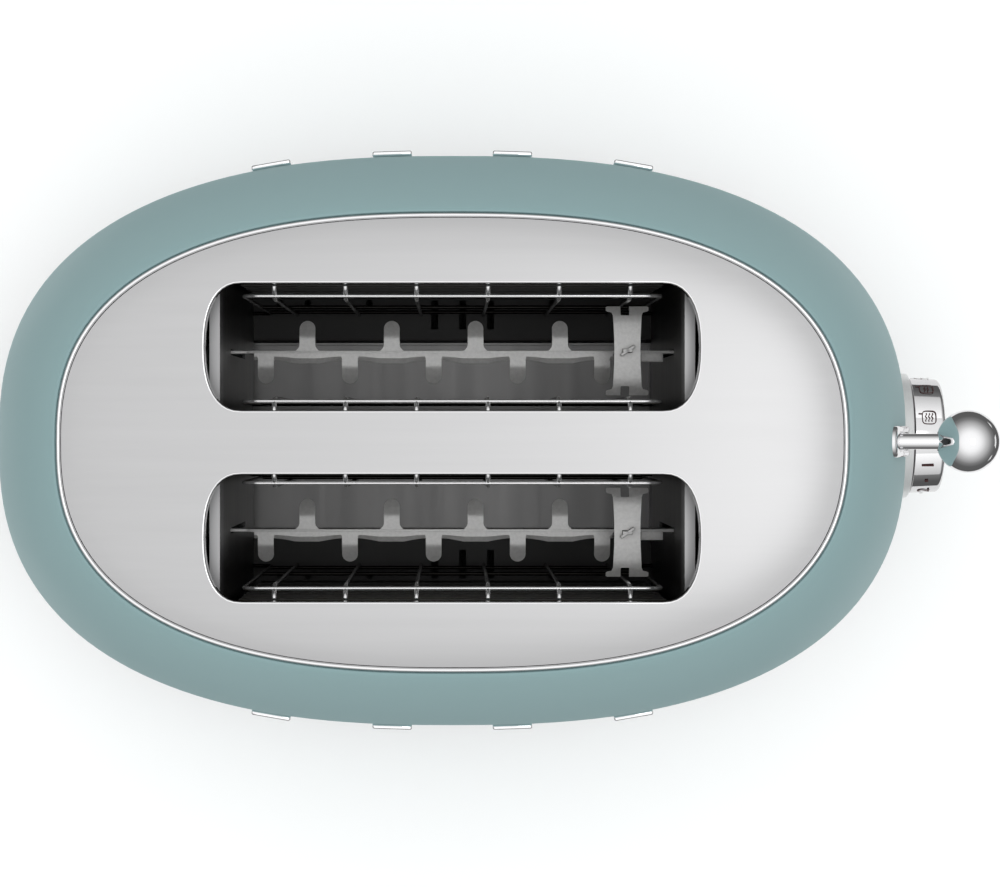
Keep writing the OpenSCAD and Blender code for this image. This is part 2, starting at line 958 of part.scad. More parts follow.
module lever_ball() {
    color([0.9, 0.9, 0.92])
        difference() {
            translate([ball_x, 0, lever_z]) sphere(r = ball_r, $fn = 96);
            rod_x(ball_x - ball_r - 1, ball_x - 1.5, 0, lever_z, rod_r);
            translate([grub_x, 0, lever_z]) cylinder(h = 20, r = grub_r);
        }
}

grub_x = 148;
grub_r = 1;

module ball_grub_screw() {
    color([0.15, 0.15, 0.16])
        translate([grub_x, 0, lever_z + rod_r])
            cylinder(h = 1.8, r = grub_r);
}

module keeper_plate() {
    bottom = magnet_top + lever_travel + 0.4;
    color([0.5, 0.5, 0.52])
        block([77, 91], [magnet_y - 8, magnet_y + 8], [bottom, bottom + keeper_t]);
}

// ---- Electrical ----

module magnet_core() {
    color([0.45, 0.45, 0.47])
        translate([magnet_x, magnet_y, 20])
            union() {
                cylinder(h = magnet_top - 20, r = 3);
                block([-6, 6], [-8, 8], [0, 3]);
                for (s = [-1, 1])
                    block([-6, 6], [s > 0 ? 6.5 : -8, s > 0 ? 8 : -6.5], [3 - eps, magnet_top - 20]);
            }
}

module magnet_coil() {
    color([0.7, 0.4, 0.2])
        translate([magnet_x, magnet_y, 24])
            difference() {
                cylinder(h = 34, r = 6);
                translate([0, 0, -1]) cylinder(h = 40, r = 3);
            }
}

module control_board() {
    color([0.15, 0.4, 0.25])
        difference() {
            block([board_x, board_x + board_t], [-board_half_y, board_half_y], [board_z0, board_z1]);
            board_screw_places() cylinder(h = 20, r = 1.5, center = true);
        }
}

module board_bracket() {
    x0 = 106.5;
    color([0.3, 0.3, 0.32])
        difference() {
            union() {
                block([x0, x0 + 1.2], [-board_half_y, board_half_y], [12, board_z1]);
                board_screw_places() translate([0, 0, -4.8]) cylinder(h = 4.8, r = 3);
            }
            board_screw_places() cylinder(h = 20, r = 1.5, center = true);
        }
}

module board_parts() {
    color([0.1, 0.1, 0.12]) {
        block([board_x + board_t, board_x + 14], [-34, -18], [34, 50]);
        block([board_x + board_t, board_x + 4], [22, 36], [38, 48]);
        for (y = [22, 33])
            rod_x(board_x + board_t, board_x + 13, y, 62, 4);
        block([board_x + board_t, board_x + 10], [-36, -26], [58, 74]);
    }
}

lead_r = 1.2;
lead_sides = 8;
lead_route = [
    [-118, 44, 22], [-109, 52, 17], [-93, 60.5, 13.5], [-70, 66, 11.5], [-40, 68, 11],
    [0, 69, 11], [40, 68, 11], [70, 64, 11.5], [90, 56, 13], [100, 45, 18], [104, 34, 26], [105, 28, 36]
];

// One lead: rings of points square to the route, joined from its first point to its last
module lead(lift) {
    n = len(lead_route);
    path = [for (p = lead_route) p + [0, 0, lift]];
    points = [
        for (i = [0:n - 1])
            let (
                ahead = path[min(i + 1, n - 1)] - path[max(i - 1, 0)],
                along = ahead / norm(ahead),
                side = cross(along, [0, 0, 1]) / norm(cross(along, [0, 0, 1])),
                up = cross(side, along)
            )
            for (j = [0:lead_sides - 1])
                let (u = 360 * j / lead_sides)
                path[i] + lead_r * (cos(u) * side + sin(u) * up)
    ];
    skin = [
        for (i = [0:n - 2])
            for (j = [0:lead_sides - 1])
                let (k = (j + 1) % lead_sides, a = i * lead_sides, b = a + lead_sides)
                each [[a + j, b + k, b + j], [a + j, a + k, b + k]]
    ];
    ends = [
        [for (j = [lead_sides - 1:-1:0]) j],
        [for (j = [0:lead_sides - 1]) (n - 1) * lead_sides + j]
    ];
    polyhedron(points = points, faces = concat(skin, ends), convexity = 6);
}

module internal_leads() {
    color([0.75, 0.2, 0.15])
        for (lift = [-1.3, 1.3])
            lead(lift);
}

// ---- Screws ----

module base_screw_places() {
    for (x = [-62, 62])
        for (y = [-46, 46])
            translate([x, y, 0]) children();
}

module chassis_screw_places(side) {
    for (s = [-1, 1])
        for (z = [60, 145])
            translate([side * (plate_x + plate_t / 2), s * 50.6, z])
                rotate([0, side * 90, 0])
                    children();
}

module board_screw_places() {
    for (s = [-1, 1])
        for (z = [board_z0 + 5, board_z1 - 5])
            translate([board_x - 0.1, s * (board_half_y - 5), z])
                rotate([0, 90, 0])
                    children();
}

module base_screws() {
    color([0.6, 0.6, 0.62])
        base_screw_places() {
            translate([0, 0, foot_h + 0.2]) cylinder(h = 1.4, r = 2.8);
            translate([0, 0, foot_h + 1.6]) cylinder(h = 8.2, r = 1.5);
        }
}

module chassis_screws() {
    color([0.6, 0.6, 0.62])
        for (side = [-1, 1])
            chassis_screw_places(side) {
                translate([0, 0, plate_t / 2]) cylinder(h = 1.6, r = 2.6);
                translate([0, 0, -2.4]) cylinder(h = 2.4 + plate_t / 2, r = 1.4);
            }
}

module board_screws() {
    color([0.6, 0.6, 0.62])
        board_screw_places() {
            translate([0, 0, 1.7]) cylinder(h = 1.6, r = 2.6);
            translate([0, 0, -4]) cylinder(h = 5.7, r = 1.5);
        }
}

body_shell();
top_panel();
panel_trim();
base_pan();
base_trim();
foot_front_left();
foot_front_right();
foot_rear_left();
foot_rear_right();
lever_escutcheon();
dial_bezel();
dial_knob();
dial_shaft();
stop_button();
potentiometer();
side_bars_left();
side_bars_right();
crumb_tray();
tray_handle();
cord_gland();
front_plate();
rear_plate();
reflector_left();
reflector_right();
mica_outer_left();
mica_inner_left();
mica_inner_right();
mica_outer_right();
winding_outer_left();
winding_inner_left();
winding_inner_right();
winding_outer_right();
bus_bars();
guard_outer_left();
guard_inner_left();
guard_inner_right();
guard_outer_right();
rack_left();
rack_right();
bridge_left();
bridge_right();
carriage_bracket();
slide_bush();
guide_rod();
rod_bumper();
lift_spring();
lever_rod();
lever_ball();
ball_grub_screw();
keeper_plate();
magnet_core();
magnet_coil();
control_board();
board_bracket();
board_parts();
internal_leads();
base_screws();
chassis_screws();
board_screws();
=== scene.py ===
"""Retro two-slot toaster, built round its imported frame: painted shell, steel panel, chrome lever and dial."""

import json
import math

import bmesh
import bpy
from mathutils import Matrix, Vector


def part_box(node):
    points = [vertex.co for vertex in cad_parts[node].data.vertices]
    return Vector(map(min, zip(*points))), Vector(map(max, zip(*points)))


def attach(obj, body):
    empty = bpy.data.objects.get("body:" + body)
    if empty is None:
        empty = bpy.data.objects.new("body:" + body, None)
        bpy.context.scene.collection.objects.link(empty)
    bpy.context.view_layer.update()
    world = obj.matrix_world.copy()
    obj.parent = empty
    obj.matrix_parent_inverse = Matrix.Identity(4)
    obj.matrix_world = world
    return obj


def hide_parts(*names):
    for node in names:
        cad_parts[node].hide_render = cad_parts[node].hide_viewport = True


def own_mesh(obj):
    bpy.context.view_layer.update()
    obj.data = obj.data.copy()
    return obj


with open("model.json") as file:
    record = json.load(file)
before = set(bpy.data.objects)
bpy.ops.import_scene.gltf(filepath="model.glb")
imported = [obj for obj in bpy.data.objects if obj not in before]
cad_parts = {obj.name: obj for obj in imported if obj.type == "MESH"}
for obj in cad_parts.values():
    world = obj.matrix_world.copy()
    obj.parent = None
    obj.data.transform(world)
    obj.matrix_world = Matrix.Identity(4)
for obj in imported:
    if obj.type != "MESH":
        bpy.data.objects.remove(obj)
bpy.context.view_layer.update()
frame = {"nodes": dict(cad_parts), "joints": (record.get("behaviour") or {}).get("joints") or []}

# ---- Sizes in metres, taken from the frame where it holds them ----

MM = 0.001
shell_low, shell_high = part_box("body_shell")
panel_low, panel_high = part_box("top_panel")
ring_low, ring_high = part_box("panel_trim")
base_low, base_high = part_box("base_trim")
plate_low, plate_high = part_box("lever_escutcheon")
ball_low, ball_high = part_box("lever_ball")
rod_low, rod_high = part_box("lever_rod")
knob_low, knob_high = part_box("dial_knob")
bezel_low, bezel_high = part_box("dial_bezel")
button_low, button_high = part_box("stop_button")

PLAN_POWER = 2.5
DOME_POWER = 1.7
WAIST_Z = 30 * MM
CROWN_Z = 195 * MM
BODY_HALF = ((shell_high.x - shell_low.x) / 2, (shell_high.y - shell_low.y) / 2)
CROWN_HALF = (110.8 * MM, 64 * MM)
TUCK = 0.10
TUCK_HEIGHT = 16 * MM
SHELL_T = 1.2 * MM
RIM_Z = shell_high.z
SLOT_POWER = 2.4
SLOT_Y = 27.25 * MM
SLOT_HALF = (70.65 * MM, 18.15 * MM)
SLOT_END = 10.7 * MM
LEVER_Z = (rod_low.z + rod_high.z) / 2
LEVER_TRAVEL = frame["joints"][0]["range_m"][1]
SLOT_SPARE = 9 * MM
ROD_R = (rod_high.z - rod_low.z) / 2
BALL = Vector((ball_high.x - (ball_high.z - ball_low.z) / 2, 0, LEVER_Z))
BALL_R = (ball_high.z - ball_low.z) / 2
DIAL = Vector((0, (knob_low.y + knob_high.y) / 2, (knob_low.z + knob_high.z) / 2))
KNOB_R = (knob_high.z - knob_low.z) / 2
BEZEL_R = (bezel_high.z - bezel_low.z) / 2


def dome(z):
    """How far the body has closed in at a height: 1 at its widest, 0 where the dome would close."""
    if z < WAIST_Z:
        return 1 - TUCK * ((WAIST_Z - z) / TUCK_HEIGHT) ** 2
    rise = min(1, (z - WAIST_Z) / (CROWN_Z - WAIST_Z))
    return max(0, 1 - rise**DOME_POWER) ** (1 / DOME_POWER)


def half_size(z):
    """Half length and half width of the body at a height."""
    return [CROWN_HALF[i] + (BODY_HALF[i] - CROWN_HALF[i]) * dome(z) for i in (0, 1)]


def wall_y(x, z):
    long, wide = half_size(z)
    return wide * (1 - (abs(x) / long) ** PLAN_POWER) ** (1 / PLAN_POWER)


def signed_power(value, power):
    return math.copysign(abs(value) ** power, value)


def oval(half_long, half_wide, z, count=160):
    """Points of the body's plan outline at a height."""
    points = []
    for i in range(count):
        turn = 2 * math.pi * i / count
        x = half_long * signed_power(math.cos(turn), 2 / PLAN_POWER)
        y = half_wide * signed_power(math.sin(turn), 2 / PLAN_POWER)
        points.append((x, y, z))
    return points


# ---- Modelling helpers ----


def deselect_all():
    for obj in bpy.context.selected_objects:
        obj.select_set(False)


def make_active(obj):
    deselect_all()
    obj.select_set(True)
    bpy.context.view_layer.objects.active = obj


def start_outline(name, points):
    """A closed outline: a circle with as many points, each moved to its place."""
    deselect_all()
    bpy.ops.mesh.primitive_circle_add(vertices=len(points), radius=1, location=(0, 0, 0))
    obj = bpy.context.active_object
    obj.name = name
    for vert, point in zip(obj.data.vertices, points):
        vert.co = point
    return obj


def edit(obj, mode="EDGE"):
    make_active(obj)
    bpy.ops.object.mode_set(mode="EDIT")
    bpy.ops.mesh.select_mode(type=mode)
    bpy.ops.mesh.select_all(action="SELECT")


def leave_edit():
    bpy.ops.object.mode_set(mode="OBJECT")


def place_selected(obj, before, after):
    """Moves the selected points that lie where `before` says to the places in `after`."""
    mesh = bmesh.from_edit_mesh(obj.data)
    target = {tuple(round(c, 7) for c in old): new for old, new in zip(before, after)}
    for vert in mesh.verts:
        if vert.select:
            vert.co = target[tuple(round(c, 7) for c in vert.co)]
    bmesh.update_edit_mesh(obj.data)


def extrude_rings(name, rings, closed=False):
    """A skin that starts from one outline and is extruded on to each next one in turn."""
    rings = [[tuple(round(c, 7) for c in p) for p in ring] for ring in rings]
    obj = start_outline(name, rings[0])
    edit(obj)
    steps = rings[1:] + ([rings[0]] if closed else [])
    for before, after in zip(rings, steps):
        bpy.ops.mesh.extrude_region_move()
        place_selected(obj, before, after)
    bpy.ops.mesh.select_all(action="SELECT")
    bpy.ops.mesh.remove_doubles(threshold=1e-6)
    bpy.ops.mesh.normals_make_consistent(inside=False)
    leave_edit()
    return obj


def open_outline(obj):
    """Takes away the edge between an outline's last point and its first, and stays in edit mode."""
    last = len(obj.data.vertices) - 1
    edit(obj)
    mesh = bmesh.from_edit_mesh(obj.data)
    for edge in mesh.edges:
        edge.select = {vert.index for vert in edge.verts} == {0, last}
    mesh.select_flush_mode()
    bmesh.update_edit_mesh(obj.data)
    bpy.ops.mesh.delete(type="EDGE")


def lathe(name, profile, centre, steps=128):
    """Turns a profile of (place along X, radius) about an axis along X through the centre."""
    points = [(centre.x + along, centre.y, centre.z + radius) for along, radius in profile]
    obj = start_outline(name, points)
    open_outline(obj)
    bpy.ops.mesh.select_all(action="SELECT")
    bpy.ops.mesh.spin(steps=steps, angle=2 * math.pi, center=centre, axis=(1, 0, 0))
    bpy.ops.mesh.select_all(action="SELECT")
    bpy.ops.mesh.remove_doubles(threshold=1e-6)
    bpy.ops.mesh.normals_make_consistent(inside=False)
    leave_edit()
    return obj


def smooth(obj, angle=35):
    make_active(obj)
    bpy.ops.object.shade_smooth_by_angle(angle=math.radians(angle))
    return obj


def modify(obj, kind, **settings):
    """Adds a modifier, sets it and applies it."""
    make_active(obj)
    modifier = obj.modifiers.new(kind.title(), kind)
    for key, value in settings.items():
        setattr(modifier, key, value)
    bpy.ops.object.modifier_apply(modifier=modifier.name)


def cut(obj, cutter):
    """Takes one closed piece away from another and deletes it."""
    modify(obj, "BOOLEAN", object=cutter, operation="DIFFERENCE", solver="EXACT")
    bpy.data.objects.remove(cutter)


def rounded_box(name, size, centre, bevel, segments=3, turn=None):
    """A block with its edges rounded over, turned about its own centre if asked."""
    deselect_all()
    bpy.ops.mesh.primitive_cube_add(size=1, location=(0, 0, 0))
    obj = bpy.context.active_object
    obj.name = name
    obj.scale = size
    bpy.ops.object.transform_apply(location=False, rotation=False, scale=True)
    edit(obj)
    bpy.ops.mesh.bevel(offset=bevel, segments=segments, profile=0.5, affect="EDGES")
    leave_edit()
    place = Matrix.Translation(centre) @ (turn or Matrix.Identity(4))
    obj.data.transform(place)
    return obj


def copy_piece(obj, name, place):
    """A copy with its own mesh, moved by a matrix; a mirroring one has its faces turned back out."""
    other = obj.copy()
    other.data = obj.data.copy()
    other.name = name
    other.data.transform(place)
    if place.determinant() < 0:
        other.data.flip_normals()
    bpy.context.scene.collection.objects.link(other)
    return other


def join(pieces, name):
    make_active(pieces[0])
    for piece in pieces[1:]:
        piece.select_set(True)
    bpy.ops.object.join()
    pieces[0].name = name
    return pieces[0]


def finish_piece(obj, material, body, slot, *nodes):
    obj.data.materials.clear()
    obj.data.materials.append(material)
    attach(obj, body)
    if nodes:
        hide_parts(*nodes)
    return obj


# ---- Shader writing ----


class Link:
    """A shader socket that Python's operators act on, adding Math nodes."""

    def __init__(self, shader, socket):
        self.shader = shader
        self.socket = socket

    def maths(self, operation, *values):
        sockets = dict(enumerate(values))
        return self.shader.add("Math", {"operation": operation}, sockets)

    def __add__(self, other):
        return self.maths("ADD", self, other)

    def __radd__(self, other):
        return self.maths("ADD", other, self)

    def __sub__(self, other):
        return self.maths("SUBTRACT", self, other)

    def __rsub__(self, other):
        return self.maths("SUBTRACT", other, self)

    def __mul__(self, other):
        return self.maths("MULTIPLY", self, other)

    def __rmul__(self, other):
        return self.maths("MULTIPLY", other, self)

    def __truediv__(self, other):
        return self.maths("DIVIDE", self, other)

    def __pow__(self, other):
        return self.maths("POWER", self, other)


class Shader:
    """The nodes of one material, or of the studio's surroundings."""

    def __init__(self, owner):
        self.owner = owner
        owner.use_nodes = True
        self.nodes = owner.node_tree.nodes
        self.nodes.clear()

    def add(self, kind, settings=None, sockets=None, out=0):
        """Adds a node of a type, sets it, then fills its sockets with values or links."""
        node = self.nodes.new("ShaderNode" + kind)
        for key, value in (settings or {}).items():
            if key == "stops":
                elements = node.color_ramp.elements
                elements.remove(elements[-1])
                elements[0].position, elements[0].color = value[0]
                for place, tint in value[1:]:
                    elements.new(place).color = tint
            else:
                setattr(node, key, value)
        for key, value in (sockets or {}).items():
            if isinstance(value, Link):
                self.owner.node_tree.links.new(value.socket, node.inputs[key])
            else:
                node.inputs[key].default_value = value
        return Link(self, node.outputs[out]) if node.outputs else None

    def place(self, scale=(1, 1, 1)):
        """Object coordinates, stretched."""
        coords = self.add("TexCoord", out=3)
        return self.add("Mapping", {}, {"Vector": coords, "Scale": scale})

    def noise(self, scale, detail=3.0, stretch=(1, 1, 1), roughness=0.5):
        sockets = {"Vector": self.place(stretch), "Scale": scale, "Detail": detail, "Roughness": roughness}
        return self.add("TexNoise", {}, sockets)

    def mix(self, factor, first, second):
        return self.add("Mix", {"data_type": "RGBA"}, {0: factor, 6: first, 7: second}, out=2)

    def bump(self, height, strength, distance):
        return self.add("Bump", {}, {"Height": height, "Strength": strength, "Distance": distance})

    def surface(self, **sockets):
        """Ends the material in one Principled shader."""
        named = {key.replace("_", " "): value for key, value in sockets.items()}
        shader = self.add("BsdfPrincipled", {}, named)
        self.add("OutputMaterial", {}, {"Surface": shader})
        return self.owner


def start(name):
    return Shader(bpy.data.materials.new(name))


def colour(r, g, b):
    return (r, g, b, 1)


def painted_shell():
    """Powder coat: a soft sheen over a very fine grain."""
    s = start("sage_powder_coat")
    cloud = s.noise(9, 2)
    grain = s.noise(1400, 2)
    tint = s.mix(cloud, colour(0.312, 0.463, 0.477), colour(0.325, 0.480, 0.490))
    return s.surface(
        Base_Color=tint,
        Roughness=0.50 + grain * 0.06,
        Normal=s.bump(grain, 0.10, 0.00012),
        Specular_IOR_Level=0.18,
    )


def satin_steel():
    """Drawn steel panel: brushed very finely along its length, with a faint cloudiness."""
    s = start("satin_panel_steel")
    strokes = s.noise(260, 4, (0.03, 1, 1), 0.6)
    cloud = s.noise(14, 2)
    tint = s.mix(strokes, colour(0.50, 0.50, 0.505), colour(0.56, 0.56, 0.565))
    return s.surface(
        Base_Color=tint,
        Metallic=1.0,
        Roughness=0.27 + strokes * 0.07 + cloud * 0.03,
        Normal=s.bump(strokes, 0.05, 0.0001),
    )


def bright_chrome(name="bright_chrome", tint=0.88):
    """Polished plating with the faintest smears."""
    s = start(name)
    smear = s.noise(60, 3)
    return s.surface(
        Base_Color=colour(tint, tint, tint * 1.01), Metallic=1.0, Roughness=0.035 + smear * 0.05
    )


def satin_nickel():
    """Pale satin plating that stays light from every side."""
    s = start("satin_nickel")
    grain = s.noise(700, 2)
    tone = s.mix(grain, colour(0.80, 0.80, 0.795), colour(0.88, 0.88, 0.875))
    return s.surface(Base_Color=tone, Metallic=0.35, Roughness=0.34 + grain * 0.04)


def sheet_steel(name, tint, rough, along=(0.05, 1, 1), streak=0.12, scale=220):
    """Plain rolled sheet with streaks along the way it was rolled and a patchy tarnish."""
    s = start(name)
    strokes = s.noise(scale, 4, along, 0.6)
    patches = s.noise(45, 4)
    darker = colour(tint * 0.72, tint * 0.71, tint * 0.70)
    lighter = colour(tint, tint, tint * 1.01)
    return s.surface(
        Base_Color=s.mix(strokes * 0.6 + patches * 0.4, darker, lighter),
        Metallic=1.0,
        Roughness=rough + strokes * streak,
        Normal=s.bump(strokes, 0.12, 0.0002),
    )


def moulded(name, tint, rough, grain_scale=900):
    """Moulded plastic or rubber with a fine spark-eroded grain."""
    s = start(name)
    grain = s.noise(grain_scale, 2)
    tone = s.mix(grain, colour(*[c * 0.85 for c in tint]), colour(*tint))
    return s.surface(
        Base_Color=tone, Roughness=rough + grain * 0.12, Normal=s.bump(grain, 0.15, 0.0001)
    )


def chassis_sheet():
    """Rolled sheet, bright along its top edge and painted dark below it as the shade deep in the slots."""
    s = start("chassis_sheet")
    height = s.add("SeparateXYZ", {}, {"Vector": s.place()}, out=2)
    strokes = s.noise(220, 4, (1, 0.06, 1), 0.6)
    # painted shade: the sheet turns near-black below 160 mm, standing in for the shade deep in the slots
    above_painted_shade = (height - 0.160) * 50
    tone = s.mix(above_painted_shade, colour(0.10, 0.10, 0.10), colour(0.50, 0.50, 0.505))
    return s.surface(Base_Color=tone, Metallic=1.0, Roughness=0.30 + strokes * 0.12)


def tumbled_steel():
    """Tumbled sheet: a dull grey speckle that still catches the light from above."""
    s = start("tumbled_sheet")
    speckle = s.noise(900, 3)
    patches = s.noise(70, 3)
    tone = s.mix(speckle * 0.7 + patches * 0.3, colour(0.60, 0.60, 0.595), colour(0.97, 0.97, 0.96))
    return s.surface(
        Base_Color=tone, Metallic=0.5, Roughness=0.46 + speckle * 0.12, Normal=s.bump(speckle, 0.25, 0.0002)
    )


def guard_wire():
    """Plated wire, bright at the top and painted near-black further down as the shade deep in the slots."""
    s = start("guard_wire")
    height = s.add("SeparateXYZ", {}, {"Vector": s.place()}, out=2)
    smear = s.noise(80, 3)
    # painted shade: the wire goes near-black below about 163 mm, standing in for the shade in the slots
    above_painted_shade = (height - 0.163) * 90 + smear * 0.2
    tone = s.mix(above_painted_shade, colour(0.030, 0.028, 0.026), colour(0.92, 0.92, 0.925))
    return s.surface(Base_Color=tone, Metallic=0.85, Roughness=0.20 + smear * 0.06)


def mica_board():
    """Pressed mica: brown flakes, mixed almost to black as painted shade for the deep slots."""
    s = start("mica_board")
    flakes = s.add("TexVoronoi", {}, {"Vector": s.place(), "Scale": 260}, out=1)
    tone = s.mix(0.25, colour(0.085, 0.075, 0.055), flakes)
    # painted shade: the flakes are mixed 85% into near-black to stand in for the shade deep in the slots
    tone = s.mix(0.85, tone, colour(0.10, 0.088, 0.065))
    return s.surface(Base_Color=tone, Roughness=0.45)


def printed_mark():
    s = start("dial_print")
    wear = s.noise(500, 2)
    tone = s.mix(wear, colour(0.050, 0.012, 0.012), colour(0.085, 0.022, 0.020))
    return s.surface(Base_Color=tone, Roughness=0.5)


def floor_white():
    s = start("studio_floor")
    cloud = s.noise(3, 2)
    tone = s.mix(cloud, colour(0.93, 0.93, 0.93), colour(0.95, 0.95, 0.95))
    return s.surface(Base_Color=tone, Roughness=0.9)


def card_white():
    s = start("floor_card")
    cloud = s.noise(3, 2)
    tone = s.mix(cloud, colour(0.88, 0.88, 0.88), colour(0.92, 0.92, 0.92))
    return s.surface(Base_Color=colour(0, 0, 0), Roughness=1.0, Emission_Color=tone, Emission_Strength=1.0)


enamel = painted_shell()
panel_steel = satin_steel()
chrome = bright_chrome()
soft_chrome = bright_chrome("dial_chrome", 0.72)
pale_nickel = satin_nickel()
black_plastic = moulded("black_base", (0.028, 0.028, 0.030), 0.5)
rubber = moulded("foot_rubber", (0.035, 0.035, 0.037), 0.7)
dial_print = printed_mark()


# ---- Painted shell ----


def dome_levels():
    """Heights for the shell's rings, closer where the wall curves most."""
    levels = [18, 18.6, 20, 23, 26.5]
    steps = 30
    last = math.asin(((RIM_Z - WAIST_Z) / (CROWN_Z - WAIST_Z)) ** (DOME_POWER / 2))
    dome_z = [math.sin(last * i / steps) ** (2 / DOME_POWER) for i in range(steps + 1)]
    return [z * MM for z in levels] + [WAIST_Z + (CROWN_Z - WAIST_Z) * z for z in dome_z]


def make_shell():
    levels = dome_levels()
    rings = []
    bottom = half_size(levels[0])
    rings.append(oval(bottom[0] - SHELL_T, bottom[1] - SHELL_T, levels[0] + 4 * MM))
    rings.append(oval(bottom[0] - SHELL_T, bottom[1] - SHELL_T, levels[0] + 0.5 * MM))
    rings.append(oval(bottom[0] - 0.6 * MM, bottom[1] - 0.6 * MM, levels[0]))
    for z in levels[1:-1]:
        rings.append(oval(*half_size(z), z))
    rim = half_size(RIM_Z)
    rings.append(oval(rim[0], rim[1], RIM_Z - 0.25 * MM))
    rings.append(oval(rim[0] - 0.35 * MM, rim[1] - 0.35 * MM, RIM_Z))
    rings.append(oval(rim[0] - 0.9 * MM, rim[1] - 0.9 * MM, RIM_Z))
    rings.append(oval(rim[0] - SHELL_T, rim[1] - SHELL_T, RIM_Z - 0.4 * MM))
    rings.append(oval(rim[0] - SHELL_T, rim[1] - SHELL_T, RIM_Z - 6 * MM))
    for z in [RIM_Z - 12 * MM] + levels[-6:2:-3]:
        size = half_size(z)
        rings.append(oval(size[0] - SHELL_T - 1.4 * MM, size[1] - SHELL_T - 1.4 * MM, z))
    shell = extrude_rings("body_shell_painted", rings, closed=True)
    slot_low = LEVER_Z - LEVER_TRAVEL
    slot_high = LEVER_Z + SLOT_SPARE + 1 * MM
    opening = stadium(3.6 * MM, slot_low - 1 * MM, slot_high, lambda y, z: 0.12)
    far = stadium(3.6 * MM, slot_low - 1 * MM, slot_high, lambda y, z: 0.16)
    cutter = extrude_rings("cutter", [opening, far])
    cap_ends(cutter)
    cut(shell, cutter)
    cutter = lathe("cutter", [(0, 0), (0, BEZEL_R - 1 * MM), (0.05, BEZEL_R - 1 * MM), (0.05, 0)],
                   Vector((0.12, DIAL.y, DIAL.z)), 48)
    cut(shell, cutter)
    smooth(shell, 40)
    return finish_piece(shell, enamel, "toaster", "enamel", "body_shell")


def cap_ends(obj):
    edit(obj, "EDGE")
    bpy.ops.mesh.select_all(action="DESELECT")
    bpy.ops.mesh.select_non_manifold()
    bpy.ops.mesh.fill_holes(sides=0)
    bpy.ops.mesh.select_all(action="SELECT")
    bpy.ops.mesh.normals_make_consistent(inside=False)
    leave_edit()


def stadium(half, low, high, x_of, count=16):
    """An upright round-ended outline; x_of gives each point's place along X."""
    points = []
    for end, start in ((high, 0), (low, math.pi)):
        for i in range(count + 1):
            turn = start + math.pi * i / count
            y = half * math.cos(turn)
            z = end + half * math.sin(turn)
            points.append((x_of(y, z), y, z))
    return points


# ---- Steel panel ----


PANEL_HALF = ((panel_high.x - panel_low.x) / 2, (panel_high.y - panel_low.y) / 2)
CROWN_DROP = 1.6 * MM
CROWN_POWER = 4
EDGE_DROP = 1.2 * MM
EDGE_POWER = 16


def crown_z(x, y):
    """Height of the panel's crowned face."""
    along = (abs(x) / PANEL_HALF[0]) ** PLAN_POWER
    across = (abs(y) / PANEL_HALF[1]) ** PLAN_POWER
    reach = min(1, (along + across) ** (1 / PLAN_POWER))
    return panel_high.z - CROWN_DROP * reach**CROWN_POWER - EDGE_DROP * reach**EDGE_POWER


def slot_outline(grow, z_of, side, count=20):
    """A bread slot's outline grown by a distance; z_of gives each point's height."""
    points = []
    half = SLOT_HALF[1] + grow
    deep = SLOT_END + grow
    straight = SLOT_HALF[0] - SLOT_END
    for end in (1, -1):
        for i in range(count + 1):
            turn = -math.pi / 2 + math.pi * i / count
            x = end * (straight + deep * signed_power(math.cos(turn), 2 / SLOT_POWER))
            y = end * half * signed_power(math.sin(turn), 2 / SLOT_POWER) + side * SLOT_Y
            points.append((x, y))
    dense = []
    for i, (x, y) in enumerate(points):
        dense.append((x, y))
        x1, y1 = points[(i + 1) % len(points)]
        gap = math.hypot(x1 - x, y1 - y)
        extra = int(gap / (4 * MM)) if gap > 20 * MM else 0
        for k in range(extra):
            share = (k + 1) / (extra + 1)
            dense.append((x + (x1 - x) * share, y + (y1 - y) * share))
    return [(x, y, z_of(x, y)) for x, y in dense]


def make_panel():
    deselect_all()
    bpy.ops.mesh.primitive_grid_add(x_subdivisions=90, y_subdivisions=54, size=2, location=(0, 0, 0))
    face = bpy.context.active_object
    face.name = "top_panel_steel"
    for vert in face.data.vertices:
        u, v = vert.co.x, vert.co.y
        reach = (abs(u) ** PLAN_POWER + abs(v) ** PLAN_POWER) ** (1 / PLAN_POWER)
        share = max(abs(u), abs(v)) / reach if reach > 0 else 0
        x, y = PANEL_HALF[0] * u * share, PANEL_HALF[1] * v * share
        vert.co = (x, y, crown_z(x, y))
    for side in (-1, 1):
        low = slot_outline(0.5 * MM, lambda x, y: panel_high.z - 0.02, side)
        high = slot_outline(0.5 * MM, lambda x, y: panel_high.z + 0.02, side)
        cutter = extrude_rings("cutter", [low, high])
        cap_ends(cutter)
        cut(face, cutter)
    lips = []
    lip_r = 0.5 * MM
    for side in (-1, 1):
        rings = []
        for i in range(7):
            turn = math.pi / 2 * i / 6
            grow = lip_r * (1 - math.sin(turn))
            drop = lip_r * (1 - math.cos(turn))
            rings.append(slot_outline(grow, lambda x, y, d=drop: crown_z(x, y) - d, side))
        rings.append(slot_outline(0, lambda x, y: panel_high.z - 6.2 * MM, side))
        rings.append(slot_outline(0.5 * MM, lambda x, y: panel_high.z - 6.9 * MM, side))
        rings.append(slot_outline(1.1 * MM, lambda x, y: panel_high.z - 7.0 * MM, side))
        lip = extrude_rings("slot_lip", rings)
        modify(lip, "SOLIDIFY", thickness=0.5 * MM, offset=-1)
        lips.append(lip)
    skirt_rings = [oval(*PANEL_HALF, panel_high.z - CROWN_DROP - EDGE_DROP), oval(*PANEL_HALF, panel_low.z)]
    skirt = extrude_rings("skirt", skirt_rings)
    edges = join(lips, "slot_edges_polished")
    smooth(edges, 50)
    finish_piece(edges, chrome, "toaster", "bright_trim")
    panel = join([face, skirt], "top_panel_steel")
    smooth(panel, 50)
    return finish_piece(panel, panel_steel, "toaster", "panel_steel", "top_panel")


